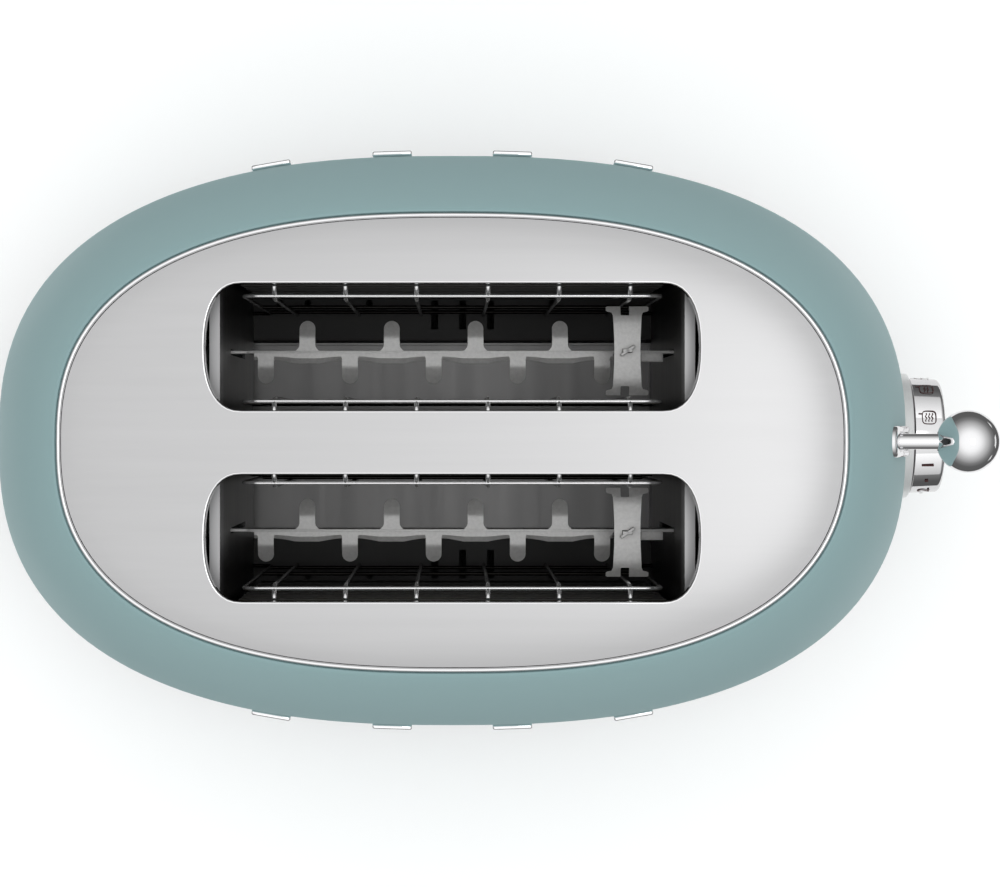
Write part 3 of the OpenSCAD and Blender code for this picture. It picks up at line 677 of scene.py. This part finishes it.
def make_ring():
    """The polished ring between the painted rim and the panel."""
    outer = ((ring_high.x - ring_low.x) / 2, (ring_high.y - ring_low.y) / 2)
    rings = []
    profile = [
        (0, ring_low.z),
        (0, RIM_Z - 0.1 * MM),
        (0.05, RIM_Z + 0.45 * MM),
        (0.3, RIM_Z + 0.85 * MM),
        (0.7, RIM_Z + 1.0 * MM),
        (1.1, RIM_Z + 0.85 * MM),
        (1.32, RIM_Z + 0.4 * MM),
        (1.35, ring_low.z),
    ]
    for inset, z in profile:
        rings.append(oval(outer[0] - inset * MM, outer[1] - inset * MM, z))
    ring = extrude_rings("panel_ring", rings, closed=True)
    smooth(ring, 60)
    return finish_piece(ring, chrome, "toaster", "bright_trim", "panel_trim")


def make_base_band():
    """The bright band round the foot of the body, rolled in at its lower edge."""
    outer = ((base_high.x - base_low.x) / 2, (base_high.y - base_low.y) / 2)
    profile = [
        (2.0, base_low.z),
        (0.9, base_low.z),
        (0.35, base_low.z + 0.3 * MM),
        (0.05, base_low.z + 1 * MM),
        (0, base_low.z + 2 * MM),
        (0, base_high.z - 1 * MM),
        (0.2, base_high.z - 0.3 * MM),
        (0.6, base_high.z),
        (2.0, base_high.z),
    ]
    rings = [oval(outer[0] - inset * MM, outer[1] - inset * MM, z) for inset, z in profile]
    band = extrude_rings("base_band", rings, closed=True)
    tray_low, tray_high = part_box("tray_handle")
    gap = rounded_box("cutter", (0.03, tray_high.y - tray_low.y + 6 * MM, 7.6 * MM),
                      Vector((-0.14, 0, 11.2 * MM)), 0.6 * MM)
    cut(band, gap)
    smooth(band, 40)
    return finish_piece(band, chrome, "toaster", "bright_trim", "base_trim")


# ---- Lever ----


def make_ball():
    """A turned ball with a flat and a short countersink where the rod goes in."""
    mouth = ROD_R + 0.45 * MM
    start = math.asin(mouth / BALL_R)
    steps = 40
    profile = [(-BALL_R * math.cos(start) + 5 * MM, ROD_R), (-BALL_R * math.cos(start) + 0.5 * MM, ROD_R),
               (-BALL_R * math.cos(start) + 0.1 * MM, ROD_R + 0.2 * MM)]
    for i in range(steps + 1):
        turn = start + (math.pi - start) * i / steps
        profile.append((-BALL_R * math.cos(turn), BALL_R * math.sin(turn)))
    ball = lathe("lever_ball_chrome", profile, BALL, 96)
    screw_low, screw_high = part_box("ball_grub_screw")
    hole_r = (screw_high.x - screw_low.x) / 2
    centre = (screw_low + screw_high) / 2
    deselect_all()
    bpy.ops.mesh.primitive_cylinder_add(vertices=32, radius=hole_r, depth=0.012,
                                        location=(centre.x, 0, centre.z + 0.005))
    cut(ball, bpy.context.active_object)
    smooth(ball, 40)
    return finish_piece(ball, chrome, "carriage", "chrome", "lever_ball")


def make_rod():
    chamfer = 0.5 * MM
    length = rod_high.x - rod_low.x
    profile = [(0, 0), (0, ROD_R - chamfer), (chamfer, ROD_R), (length - chamfer, ROD_R),
               (length, ROD_R - chamfer), (length, 0)]
    rod = lathe("lever_rod_chrome", profile, Vector((rod_low.x, 0, LEVER_Z)), 48)
    smooth(rod, 40)
    return finish_piece(rod, chrome, "carriage", "chrome", "lever_rod")


def make_escutcheon():
    """The slotted plate the lever rod comes through, following the curve of the wall."""
    outer_half = (plate_high.y - plate_low.y) / 2
    inner_half = ROD_R + 0.35 * MM
    high_end = plate_high.z - outer_half
    low_end = plate_low.z + outer_half
    slot_high = LEVER_Z + SLOT_SPARE
    slot_low = LEVER_Z - LEVER_TRAVEL

    def on_wall(off):
        return lambda y, z: half_size(z)[0] + off

    section = [
        (outer_half, low_end, high_end, -0.6 * MM),
        (outer_half, low_end, high_end, 0.7 * MM),
        (outer_half - 0.15 * MM, low_end, high_end, 1.05 * MM),
        (outer_half - 0.5 * MM, low_end, high_end, 1.25 * MM),
        (inner_half + 0.5 * MM, slot_low, slot_high, 1.25 * MM),
        (inner_half + 0.12 * MM, slot_low, slot_high, 1.1 * MM),
        (inner_half, slot_low, slot_high, 0.7 * MM),
        (inner_half, slot_low, slot_high, -2.4 * MM),
    ]
    rings = [dense_stadium(half, low, high, on_wall(off)) for half, low, high, off in section]
    plate = extrude_rings("lever_plate", rings)
    modify(plate, "SOLIDIFY", thickness=0.3 * MM, offset=-1)
    smooth(plate, 45)
    return finish_piece(plate, chrome, "toaster", "chrome", "lever_escutcheon")


def dense_stadium(half, low, high, x_of):
    """A round-ended outline with extra points up its straight sides."""
    ends = 16
    sides = 14
    points = []
    for i in range(ends + 1):
        turn = math.pi * i / ends
        points.append((half * math.cos(turn), high + half * math.sin(turn)))
    for i in range(1, sides):
        points.append((-half, high + (low - high) * i / sides))
    for i in range(ends + 1):
        turn = math.pi + math.pi * i / ends
        points.append((half * math.cos(turn), low + half * math.sin(turn)))
    for i in range(1, sides):
        points.append((half, low + (high - low) * i / sides))
    return [(x_of(y, z), y, z) for y, z in points]


# ---- Dial ----


def make_bezel():
    """The pale ring round the back of the dial, with a shallow recess that the dial turns in."""
    front = bezel_high.x
    back = bezel_low.x
    profile = [(back, BEZEL_R - 1 * MM), (back, BEZEL_R), (front - 0.5 * MM, BEZEL_R),
               (front - 0.15 * MM, BEZEL_R - 0.15 * MM), (front, BEZEL_R - 0.5 * MM),
               (front, BEZEL_R - 1.5 * MM), (front - 0.8 * MM, BEZEL_R - 2.2 * MM),
               (front - 0.8 * MM, 5 * MM)]
    bezel = lathe("dial_ring", profile, Vector((0, DIAL.y, DIAL.z)), 128)
    modify(bezel, "SOLIDIFY", thickness=0.4 * MM, offset=-1)
    smooth(bezel, 40)
    return finish_piece(bezel, pale_nickel, "toaster", "chrome", "dial_bezel")


def make_knob():
    """The dial: a hollow turned drum with a rounded front edge and a well for the stop button."""
    front = knob_high.x
    back = knob_low.x
    well_r = 7.3 * MM
    edge = 1.5 * MM
    profile = [(back + 5 * MM, 7 * MM), (back + 5 * MM, KNOB_R - 2 * MM), (back, KNOB_R - 1.8 * MM),
               (back, KNOB_R - 0.3 * MM), (back + 0.3 * MM, KNOB_R)]
    edge_r = KNOB_R - 0.35 * MM - edge
    for i in range(9):
        turn = math.pi / 2 * i / 8
        profile.append((front - edge + edge * math.sin(turn), edge_r + edge * math.cos(turn)))
    profile += [(front - 0.35 * MM, KNOB_R - 5 * MM), (front - 0.9 * MM, well_r + 2.5 * MM),
                (front - 0.6 * MM, well_r + 0.5 * MM), (front - 0.8 * MM, well_r + 0.1 * MM),
                (front - 1.6 * MM, well_r), (front - 3.7 * MM, well_r), (front - 3.7 * MM, 2 * MM)]
    knob = lathe("dial_knob_chrome", profile, Vector((0, DIAL.y, DIAL.z)), 160)
    smooth(knob, 40)
    return finish_piece(knob, soft_chrome, "dial", "chrome", "dial_knob")


def make_button():
    front = button_high.x
    radius = (button_high.z - button_low.z) / 2
    back = front - 2.2 * MM
    stem = 1.4 * MM
    profile = [(button_low.x, 0), (button_low.x, stem), (back, stem), (back, radius - 0.2 * MM),
               (back + 0.2 * MM, radius), (front - 0.9 * MM, radius), (front - 0.5 * MM, radius - 0.2 * MM),
               (front - 0.25 * MM, radius - 0.7 * MM), (front - 0.35 * MM, radius - 2.5 * MM),
               (front - 0.6 * MM, 2 * MM), (front - 0.62 * MM, 0)]
    button = lathe("stop_button_chrome", profile, Vector((0, DIAL.y, DIAL.z)), 96)
    smooth(button, 40)
    return finish_piece(button, chrome, "stop_button", "chrome", "stop_button")


def wrap_on_dial(obj, angle, x_middle):
    """Wraps a flat mark round the dial's rim: its right goes round the rim, its top points to the body."""
    lift = 0.04 * MM
    for vert in obj.data.vertices:
        turn = angle + vert.co.x / KNOB_R
        radius = KNOB_R + lift + vert.co.z
        vert.co = (x_middle - vert.co.y, DIAL.y + radius * math.sin(turn), DIAL.z + radius * math.cos(turn))


def flat_text(letters, size):
    deselect_all()
    bpy.ops.object.text_add(location=(0, 0, 0))
    text = bpy.context.active_object
    text.data.body = letters
    text.data.size = size
    text.data.align_x = "CENTER"
    text.data.align_y = "CENTER"
    text.data.extrude = 0.03 * MM
    text.data.offset = 0.10 * MM
    text.data.resolution_u = 4
    bpy.ops.object.convert(target="MESH")
    return bpy.context.active_object


def stroke(points, width):
    """A flat printed line of even width through the points."""
    left, right = [], []
    for i, point in enumerate(points):
        ahead = Vector(points[min(i + 1, len(points) - 1)]) - Vector(points[max(i - 1, 0)])
        side = Vector((-ahead.y, ahead.x)).normalized() * width / 2
        left.append((point[0] + side.x, point[1] + side.y, 0))
        right.append((point[0] - side.x, point[1] - side.y, 0))
    obj = start_outline("stroke", left + right[::-1])
    edit(obj)
    bpy.ops.mesh.fill()
    bpy.ops.mesh.extrude_region_move(TRANSFORM_OT_translate={"value": (0, 0, 0.03 * MM)})
    leave_edit()
    return obj


def slice_icon(bars):
    """A slice of bread with heat waves, drawn flat: a rounded outline, wavy lines and a short stub."""
    size = 4.4 * MM
    width = 0.28 * MM
    outline = []
    for i in range(49):
        turn = 2 * math.pi * i / 48
        across = size / 2 * signed_power(math.cos(turn), 0.5)
        upward = size / 2 * signed_power(math.sin(turn), 0.5)
        outline.append((across, upward))
    pieces = [stroke(outline, width)]
    for k in range(bars):
        offset = (k - (bars - 1) / 2) * 1.0 * MM
        wave = []
        for i in range(17):
            along = -1.4 * MM + 2.8 * MM * i / 16
            wave.append((along, offset + 0.22 * MM * math.sin(i / 16 * 4 * math.pi)))
        pieces.append(stroke(wave, width))
    pieces.append(stroke([(1.2 * MM, size / 2 + 1.2 * MM), (1.2 * MM, size / 2 - 0.2 * MM)], width * 1.5))
    return join(pieces, "icon")


def make_dial_marks():
    """Numerals, dots between them and three plain icons round the rim."""
    first = math.radians(-30.5)
    pitch = math.radians(-41)
    x_middle = (knob_low.x + knob_high.x) / 2 - 0.4 * MM
    marks = []
    for i in range(6):
        numeral = flat_text(str(i + 1), 5.4 * MM)
        wrap_on_dial(numeral, first + pitch * i, x_middle)
        marks.append(numeral)
        if i < 5:
            dot = stroke([(-0.55 * MM, 0), (0.55 * MM, 0)], 1.1 * MM)
            wrap_on_dial(dot, first + pitch * (i + 0.5), x_middle)
            marks.append(dot)
    for i in range(3):
        icon = slice_icon(3 - i)
        wrap_on_dial(icon, math.radians(18.5 + 35.5 * i), x_middle)
        marks.append(icon)
    marks = join(marks, "dial_marks")
    return finish_piece(marks, dial_print, "dial", "component")


# ---- Side bars ----


def make_bars():
    """Four plain bright bars on each long side, set square to the wall."""
    bar_z = 52 * MM
    step = 4 * MM
    size = (13 * MM, 1.8 * MM, 20 * MM)
    for side, name in ((1, "left"), (-1, "right")):
        bars = []
        for x in (-59.4 * MM, -19.7 * MM, 19.7 * MM, 59.4 * MM):
            yaw = math.atan2(wall_y(x + step, bar_z) - wall_y(x - step, bar_z), 2 * step)
            lean = math.atan2(half_size(bar_z - step)[1] - half_size(bar_z + step)[1], 2 * step)
            turn = Matrix.Rotation(side * yaw, 4, "Z") @ Matrix.Rotation(side * lean, 4, "X")
            centre = Vector((x, side * (wall_y(x, bar_z) + 1.1 * MM), bar_z))
            bars.append(rounded_box("bar", size, centre, 0.7 * MM, 4, turn))
        row = join(bars, f"side_bars_{name}_chrome")
        smooth(row, 40)
        finish_piece(row, chrome, "toaster", "chrome", f"side_bars_{name}")


# ---- Bread racks, bridges and guards ----

LEFT_TABS = (-44.3, -18.5, 7.1, 32.9)
RIGHT_TABS = (-57, -31.3, -5.7, 20, 45.8)
TAB_HALF = 2.4 * MM
TAB_REACH = 9.6 * MM
TAB_DROOP = 2.5 * MM
RACK_TOP = 130 * MM
BLADE_T = 1 * MM
BRIDGE_X = 52.5 * MM
BRIDGE_TOP = 148 * MM
SHEET = 0.7 * MM


def section(x0, x1, y0, y1, z0, z1):
    """A sheet's four corners across its run, from one edge to the other."""
    return [(x0, y0, z0), (x1, y1, z1), (x1, y1, z1 - SHEET), (x0, y0, z0 - SHEET)]


def make_tab(x, side, top):
    """A bread tab: wide where it leaves the blade, bending down over its length to a round tip."""
    root = 0.2 * MM
    flare = 1.5 * MM
    flare_ends = 2 * MM
    bend_y = 4.4 * MM
    reach = TAB_REACH
    steps = 22
    rings = []
    for i in range(steps + 1):
        y = root + (reach - root) * math.sin(math.pi / 2 * i / steps)
        half = TAB_HALF + flare * max(0, 1 - (y - root) / flare_ends) ** 2
        left = reach - y
        if left < TAB_HALF:
            half = TAB_HALF * math.sqrt(max(0.02, 1 - (1 - left / TAB_HALF) ** 2))
        z = top - TAB_DROOP * max(0, (y - bend_y) / (reach - bend_y)) ** 1.15
        rings.append(section(x - half, x + half, side * y, side * y, z, z))
    tab = extrude_rings("tab", rings)
    cap_ends(tab)
    return tab


def make_flange(start, end):
    """The blade's turned-over edge: a flat strip, then one bent down, scalloped between the tabs."""
    steps = 72
    blade_side = 0.3 * MM
    bend = 0.55
    fall = 0.8 * MM
    bend_z = RACK_TOP - 0.06 * fall
    pieces = []
    for flat in (True, False):
        rings = []
        for i in range(steps + 1):
            x = start + (end - start) * i / steps
            near = min(abs(x / MM - tab) for tab in RIGHT_TABS)
            deep = (2.3 + 1.1 * min(1, near / 9) ** 2) * MM
            if flat:
                rings.append(section(x, x, blade_side, -deep * bend, RACK_TOP, bend_z))
            else:
                rings.append(section(x, x, -deep * bend, -deep, bend_z, RACK_TOP - fall))
        strip = extrude_rings("strip", rings)
        cap_ends(strip)
        pieces.append(strip)
    return pieces


def make_pair(piece, copy_name, nodes):
    """The left piece and its copy, each moved from the middle to its own slot, as rack steel."""
    other = copy_piece(piece, copy_name, Matrix.Translation((0, -SLOT_Y, 0)))
    piece.data.transform(Matrix.Translation((0, SLOT_Y, 0)))
    for obj, node in zip((piece, other), nodes):
        smooth(obj, 40)
        finish_piece(obj, FINISHES["rack"], "carriage", "rack_steel", node)


def make_racks():
    """Each bread rack: an upright blade, a scalloped flange, drooping tabs and a twisted tongue."""
    edge = 0.2 * MM
    blade_start = -62.4 * MM
    blade_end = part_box("rack_left")[1].x
    blade_size = (blade_end - blade_start, BLADE_T, 12 * MM)
    blade_centre = Vector(((blade_start + blade_end) / 2, 0, RACK_TOP - 6 * MM))
    pieces = [
        rounded_box("blade", blade_size, blade_centre, edge),
        rounded_box("tail", (8.4 * MM, BLADE_T, 6 * MM), Vector((-66.3 * MM, 0, RACK_TOP - 5 * MM)), edge),
    ]
    for x in LEFT_TABS:
        pieces.append(make_tab(x * MM, 1, RACK_TOP - 0.02 * MM))
    for x in RIGHT_TABS:
        pieces.append(make_tab(x * MM, -1, RACK_TOP - 0.04 * MM))
    pieces += make_flange(-60.5 * MM, 49 * MM)
    pad_centre = Vector((61 * MM, -1.5 * MM, RACK_TOP - SHEET / 2))
    pieces.append(rounded_box("pad", (6.8 * MM, 3 * MM, SHEET), pad_centre, edge))
    tongue_centre = Vector((BRIDGE_X, 0, RACK_TOP + 10 * MM))
    pieces.append(rounded_box("tongue", (3 * MM, BLADE_T, 22 * MM), tongue_centre, edge))
    turn = Matrix.Rotation(math.radians(35), 4, "Z")
    twist_centre = Vector((BRIDGE_X, 0, BRIDGE_TOP + 1.9 * MM))
    pieces.append(rounded_box("twist", (5 * MM, BLADE_T, 2.2 * MM), twist_centre, 0.25 * MM, 3, turn))
    rack = join(pieces, "rack_left_sheet")
    make_pair(rack, "rack_right_sheet", ("rack_left", "rack_right"))


def make_bridges():
    """The cross piece that holds the rack's tongue: waisted sides, bent ends with a wide rounded foot."""
    widening = [(3.9, 0), (3.95, 4), (4.15, 8), (4.3, 10.6), (4.7, 11.5), (6.0, 11.8), (6.4, 12.1),
                (6.4, 13.1), (6.0, 13.35)]
    outline = [(half, -y) for half, y in widening[:0:-1]] + widening
    bend_y = 10.2
    slope = math.tan(math.radians(26))
    rings = []
    for half, y in outline:
        z = BRIDGE_TOP - max(0, abs(y) - bend_y) * slope * MM - 0.25 * MM * (y / bend_y) ** 2
        rings.append(section(BRIDGE_X - half * MM, BRIDGE_X + half * MM, y * MM, y * MM, z, z))
    bridge = extrude_rings("bridge_left_sheet", rings)
    cap_ends(bridge)
    for side in (-1, 1):
        notch_centre = Vector((51.8 * MM, side * 14.6 * MM, 146 * MM))
        cut(bridge, rounded_box("cutter", (2.6 * MM, 8 * MM, 8 * MM), notch_centre, 0.3 * MM))
    hole_centre = Vector((BRIDGE_X, 0, BRIDGE_TOP))
    cut(bridge, rounded_box("cutter", (3.3 * MM, 1.3 * MM, 6 * MM), hole_centre, 0.2 * MM))
    make_pair(bridge, "bridge_right_sheet", ("bridge_left", "bridge_right"))


def wire(path, radii, count=12):
    """A round wire along a path; the radius is given for each point of it."""
    path = [Vector(p) for p in path]
    side = Vector((0, 1, 0))
    rings = []
    for i, point in enumerate(path):
        ahead = (path[min(i + 1, len(path) - 1)] - path[max(i - 1, 0)]).normalized()
        side = (side - ahead * side.dot(ahead)).normalized()
        other = ahead.cross(side)
        ring = []
        for k in range(count):
            turn = 2 * math.pi * k / count
            ring.append(point + (side * math.cos(turn) + other * math.sin(turn)) * radii[i])
        rings.append(ring)
    obj = extrude_rings("wire", rings)
    cap_ends(obj)
    return obj


def make_lift_spring():
    """The coil under the carriage's bush."""
    low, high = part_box("lift_spring")
    gauge = 0.5 * MM
    radius = (high.x - low.x) / 2 - gauge
    centre_x = (low.x + high.x) / 2
    turns, steps = 14, 20
    length = high.z - low.z - 2 * gauge
    path = []
    for i in range(turns * steps + 1):
        turn = 2 * math.pi * i / steps
        path.append((centre_x + radius * math.cos(turn), radius * math.sin(turn),
                     low.z + gauge + length * i / (turns * steps)))
    spring = wire(path, [gauge] * len(path), 8)
    spring.name = "lift_spring_coil"
    smooth(spring, 60)
    finish_piece(spring, FINISHES["spring"], "toaster", "spring_steel", "lift_spring")
    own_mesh(spring)


def make_guards():
    """Four wire guards: one looped long wire, two cross wires and six uprights whose tips turn away."""
    radius = 0.6 * MM
    half = 61 * MM
    base = 26 * MM
    top = 175 * MM
    offset = 15.4 * MM
    stub = 70.3 * MM
    foot_bend = 3 * MM
    top_bend = 5 * MM
    loop = [(-stub, offset, base)]
    for x, z, start, way, reach in ((-half - foot_bend, base + foot_bend, -90, 90, foot_bend),
                                    (-half + top_bend, top - top_bend, 180, -90, top_bend)):
        for i in range(7):
            turn = math.radians(start + way * i / 6)
            loop.append((x + reach * math.cos(turn), offset, z + reach * math.sin(turn)))
    loop += [(-x, y, z) for x, y, z in loop[::-1]]
    wires = [wire(loop, [radius] * len(loop))]
    for z in (84, 40):
        level = [(x, offset, z * MM) for x in (-half, 0, half)]
        wires.append(wire(level, [radius] * len(level)))
    upright = [(14.5, 38, 0.6), (14.5, 100, 0.6), (14.5, 172.4, 0.62), (14.85, 173.8, 0.68),
               (15.8, 175, 0.72), (17, 176.5, 0.74), (18.2, 177.25, 0.7), (18.5, 177.4, 0.45)]
    for x in (-51.8, -31.1, -10.4, 10.4, 31.1, 51.8):
        path = [(x * MM, y * MM, z * MM) for y, z, thick in upright]
        wires.append(wire(path, [thick * MM for y, z, thick in upright]))
    guard = join(wires, "guard")
    smooth(guard, 60)
    mirror = Matrix.Scale(-1, 4, (0, 1, 0))
    turned = Matrix.Identity(4)
    for name, centre, way in (("guard_inner_left", 1, mirror), ("guard_inner_right", -1, turned),
                              ("guard_outer_right", -1, mirror), ("guard_outer_left", 1, turned)):
        place = Matrix.Translation((0, centre * SLOT_Y, 0)) @ way
        obj = copy_piece(guard, f"{name}_wire", place)
        finish_piece(obj, FINISHES["wire"], name, "guard_wire", name)
    bpy.data.objects.remove(guard)


make_shell()
make_panel()
make_ring()
make_base_band()
make_ball()
make_rod()
make_escutcheon()
make_bezel()
make_knob()
make_button()
make_dial_marks()
make_bars()

# ---- Finishes of the pieces that keep their own shape ----

FINISHES = {
    "chassis": chassis_sheet(),
    # painted shade: the reflectors' steel is made nearly black (0.07) to stand in for the shade deep in the
    # slots
    "reflector": sheet_steel("reflector_sheet", 0.07, 0.40, (0.05, 1, 1)),
    "tray": sheet_steel("tray_sheet", 0.31, 0.22, (1, 0.03, 1), 0.2, 150),
    "rack": tumbled_steel(),
    "wire": guard_wire(),
    "mica": mica_board(),
    "ribbon": sheet_steel("heating_ribbon", 0.12, 0.5, (0.05, 1, 1), 0.02),
    "brass": sheet_steel("bus_brass", 0.5, 0.35),
    "spring": sheet_steel("plated_steel", 0.55, 0.25),
    "nylon": moulded("nylon_bush", (0.62, 0.58, 0.46), 0.4),
    "copper": moulded("coil_copper", (0.42, 0.16, 0.06), 0.3),
    "board": moulded("board_green", (0.03, 0.16, 0.07), 0.35),
    "parts": moulded("board_parts", (0.03, 0.03, 0.035), 0.35),
    "leads": moulded("lead_sleeve", (0.45, 0.05, 0.03), 0.4),
    "black": black_plastic,
    "rubber": rubber,
}
NODE_FINISH = {
    "chassis": ["front_plate", "rear_plate", "carriage_bracket"],
    "reflector": ["reflector_left", "reflector_right"],
    "tray": ["crumb_tray", "tray_handle"],
    "mica": ["mica_outer_left", "mica_inner_left", "mica_inner_right", "mica_outer_right"],
    "ribbon": ["winding_outer_left", "winding_inner_left", "winding_inner_right", "winding_outer_right"],
    "brass": ["bus_bars"],
    "spring": ["guide_rod", "dial_shaft", "keeper_plate", "magnet_core", "base_screws",
               "chassis_screws", "board_screws"],
    "nylon": ["slide_bush"],
    "copper": ["magnet_coil"],
    "board": ["control_board"],
    "parts": ["board_parts", "potentiometer"],
    "leads": ["internal_leads"],
    "black": ["base_pan", "cord_gland", "board_bracket", "ball_grub_screw"],
    "rubber": ["foot_front_left", "foot_front_right", "foot_rear_left", "foot_rear_right", "rod_bumper"],
}
make_racks()
make_bridges()
make_guards()
make_lift_spring()
for finish, names in NODE_FINISH.items():
    for name in names:
        node = frame["nodes"][name]
        node.data.materials.clear()
        node.data.materials.append(FINISHES[finish])


# ---- Floor, light and camera ----

# Brightness of the dome of light at angles in degrees from straight up
SKY_TOP = 1.12
SKY = [(0, 1.12), (23, 1.1), (35, 1.03), (47, 0.85), (60, 0.62), (74, 0.42), (89, 0.22), (106, 0.12),
       (180, 0.10)]
BACKDROP = 0.9
CARD_SIZE = (0.54, 0.23)
# Place and size of each glint card on the ball's side of the floor
GLINTS = [(0.60, 0, 0.24, 0.16), (0.45, 0.20, 0.10, 0.06), (0.45, -0.20, 0.10, 0.06)]


def make_floor():
    deselect_all()
    bpy.ops.mesh.primitive_grid_add(x_subdivisions=8, y_subdivisions=8, size=6, location=(0, 0, 0))
    floor = bpy.context.active_object
    floor.name = "studio_floor"
    floor.data.materials.append(floor_white())
    floor.visible_glossy = False


def make_cards():
    """White cards that only polished metal sees: one under the body and three for the ball's glints."""
    deselect_all()
    bpy.ops.mesh.primitive_grid_add(x_subdivisions=8, y_subdivisions=8, size=1, location=(0, 0, 0))
    card = bpy.context.active_object
    card.name = "floor_card"
    for vert in card.data.vertices:
        vert.co = (vert.co.x * CARD_SIZE[0], vert.co.y * CARD_SIZE[1], -0.001)
    card.data.materials.append(card_white())
    card.visible_camera = False
    card.visible_diffuse = False
    card.visible_shadow = False
    for k, (x, y, long, wide) in enumerate(GLINTS):
        size = Matrix.Diagonal((long / CARD_SIZE[0], wide / CARD_SIZE[1], 1, 1))
        copy_piece(card, f"ball_glint_{k}", Matrix.Translation((x, y, 0)) @ size)


def add_light(name, place, aim, size, power):
    data = bpy.data.lights.new(name, "AREA")
    data.shape = "RECTANGLE"
    data.size, data.size_y = size
    data.energy = power
    light = bpy.data.objects.new(name, data)
    light.location = place
    light.rotation_euler = (Vector(aim) - Vector(place)).to_track_quat("-Z", "Y").to_euler()
    bpy.context.scene.collection.objects.link(light)
    return light


def make_studio():
    """A broad white dome of light, dark at the horizon, with a softbox over the middle and right."""
    world = bpy.data.worlds.new("studio")
    s = Shader(world)
    direction = s.add("TexCoord", out=0)
    towards = s.add("VectorMath", {"operation": "DOT_PRODUCT"}, {0: direction, 1: (0, 0, 1)}, out=1)
    stops = [(0.5 + 0.5 * math.cos(math.radians(a)), colour(*[v / SKY_TOP] * 3)) for a, v in SKY]
    light = s.add("ValToRGB", {"stops": stops[::-1]}, {"Fac": towards * 0.5 + 0.5})
    to_camera = s.add("LightPath", out=0)
    shade = s.mix(to_camera, light, colour(*[BACKDROP / SKY_TOP] * 3))
    background = s.add("Background", {}, {"Color": shade, "Strength": SKY_TOP})
    s.add("OutputWorld", {}, {"Surface": background})
    bpy.context.scene.world = world
    softbox = add_light("softbox", (0.45, 0, 2.2), (0, 0, 0.19), (0.7, 0.5), 1.45)
    softbox.visible_camera = False
    floor_light = add_light("floor_light", (0, 0, 0.3), (0, 0, 0), (6, 6), 46)
    floor_light.visible_camera = False
    floor_light.visible_glossy = False
    lit = bpy.data.collections.new("lit_by_floor_light")
    lit.objects.link(bpy.data.objects["studio_floor"])
    floor_light.light_linking.receiver_collection = lit
    for side in (-1, 1):
        name = "dial_side_light_" + ("left" if side > 0 else "right")
        strip = add_light(name, (0.14, side * 0.8, 0.50), (0.14, 0, 0.058), (1, 0.85), 1.2)
        strip.visible_camera = False
        dial_lit = bpy.data.collections.new(name)
        for part in ("dial_knob_chrome", "side_bars_left_chrome", "side_bars_right_chrome"):
            dial_lit.objects.link(bpy.data.objects[part])
        strip.light_linking.receiver_collection = dial_lit


def make_camera():
    data = bpy.data.cameras.new("camera")
    data.sensor_width = 36
    data.lens = 113.83
    data.shift_x = 0.0477
    data.shift_y = -0.0189
    data.clip_start = 0.05
    camera = bpy.data.objects.new("camera", data)
    camera.location = (0, 0.0051, 1.096)
    bpy.context.scene.collection.objects.link(camera)
    bpy.context.scene.camera = camera


make_floor()
make_cards()
make_studio()
make_camera()
bpy.context.scene.view_settings.view_transform = "Standard"
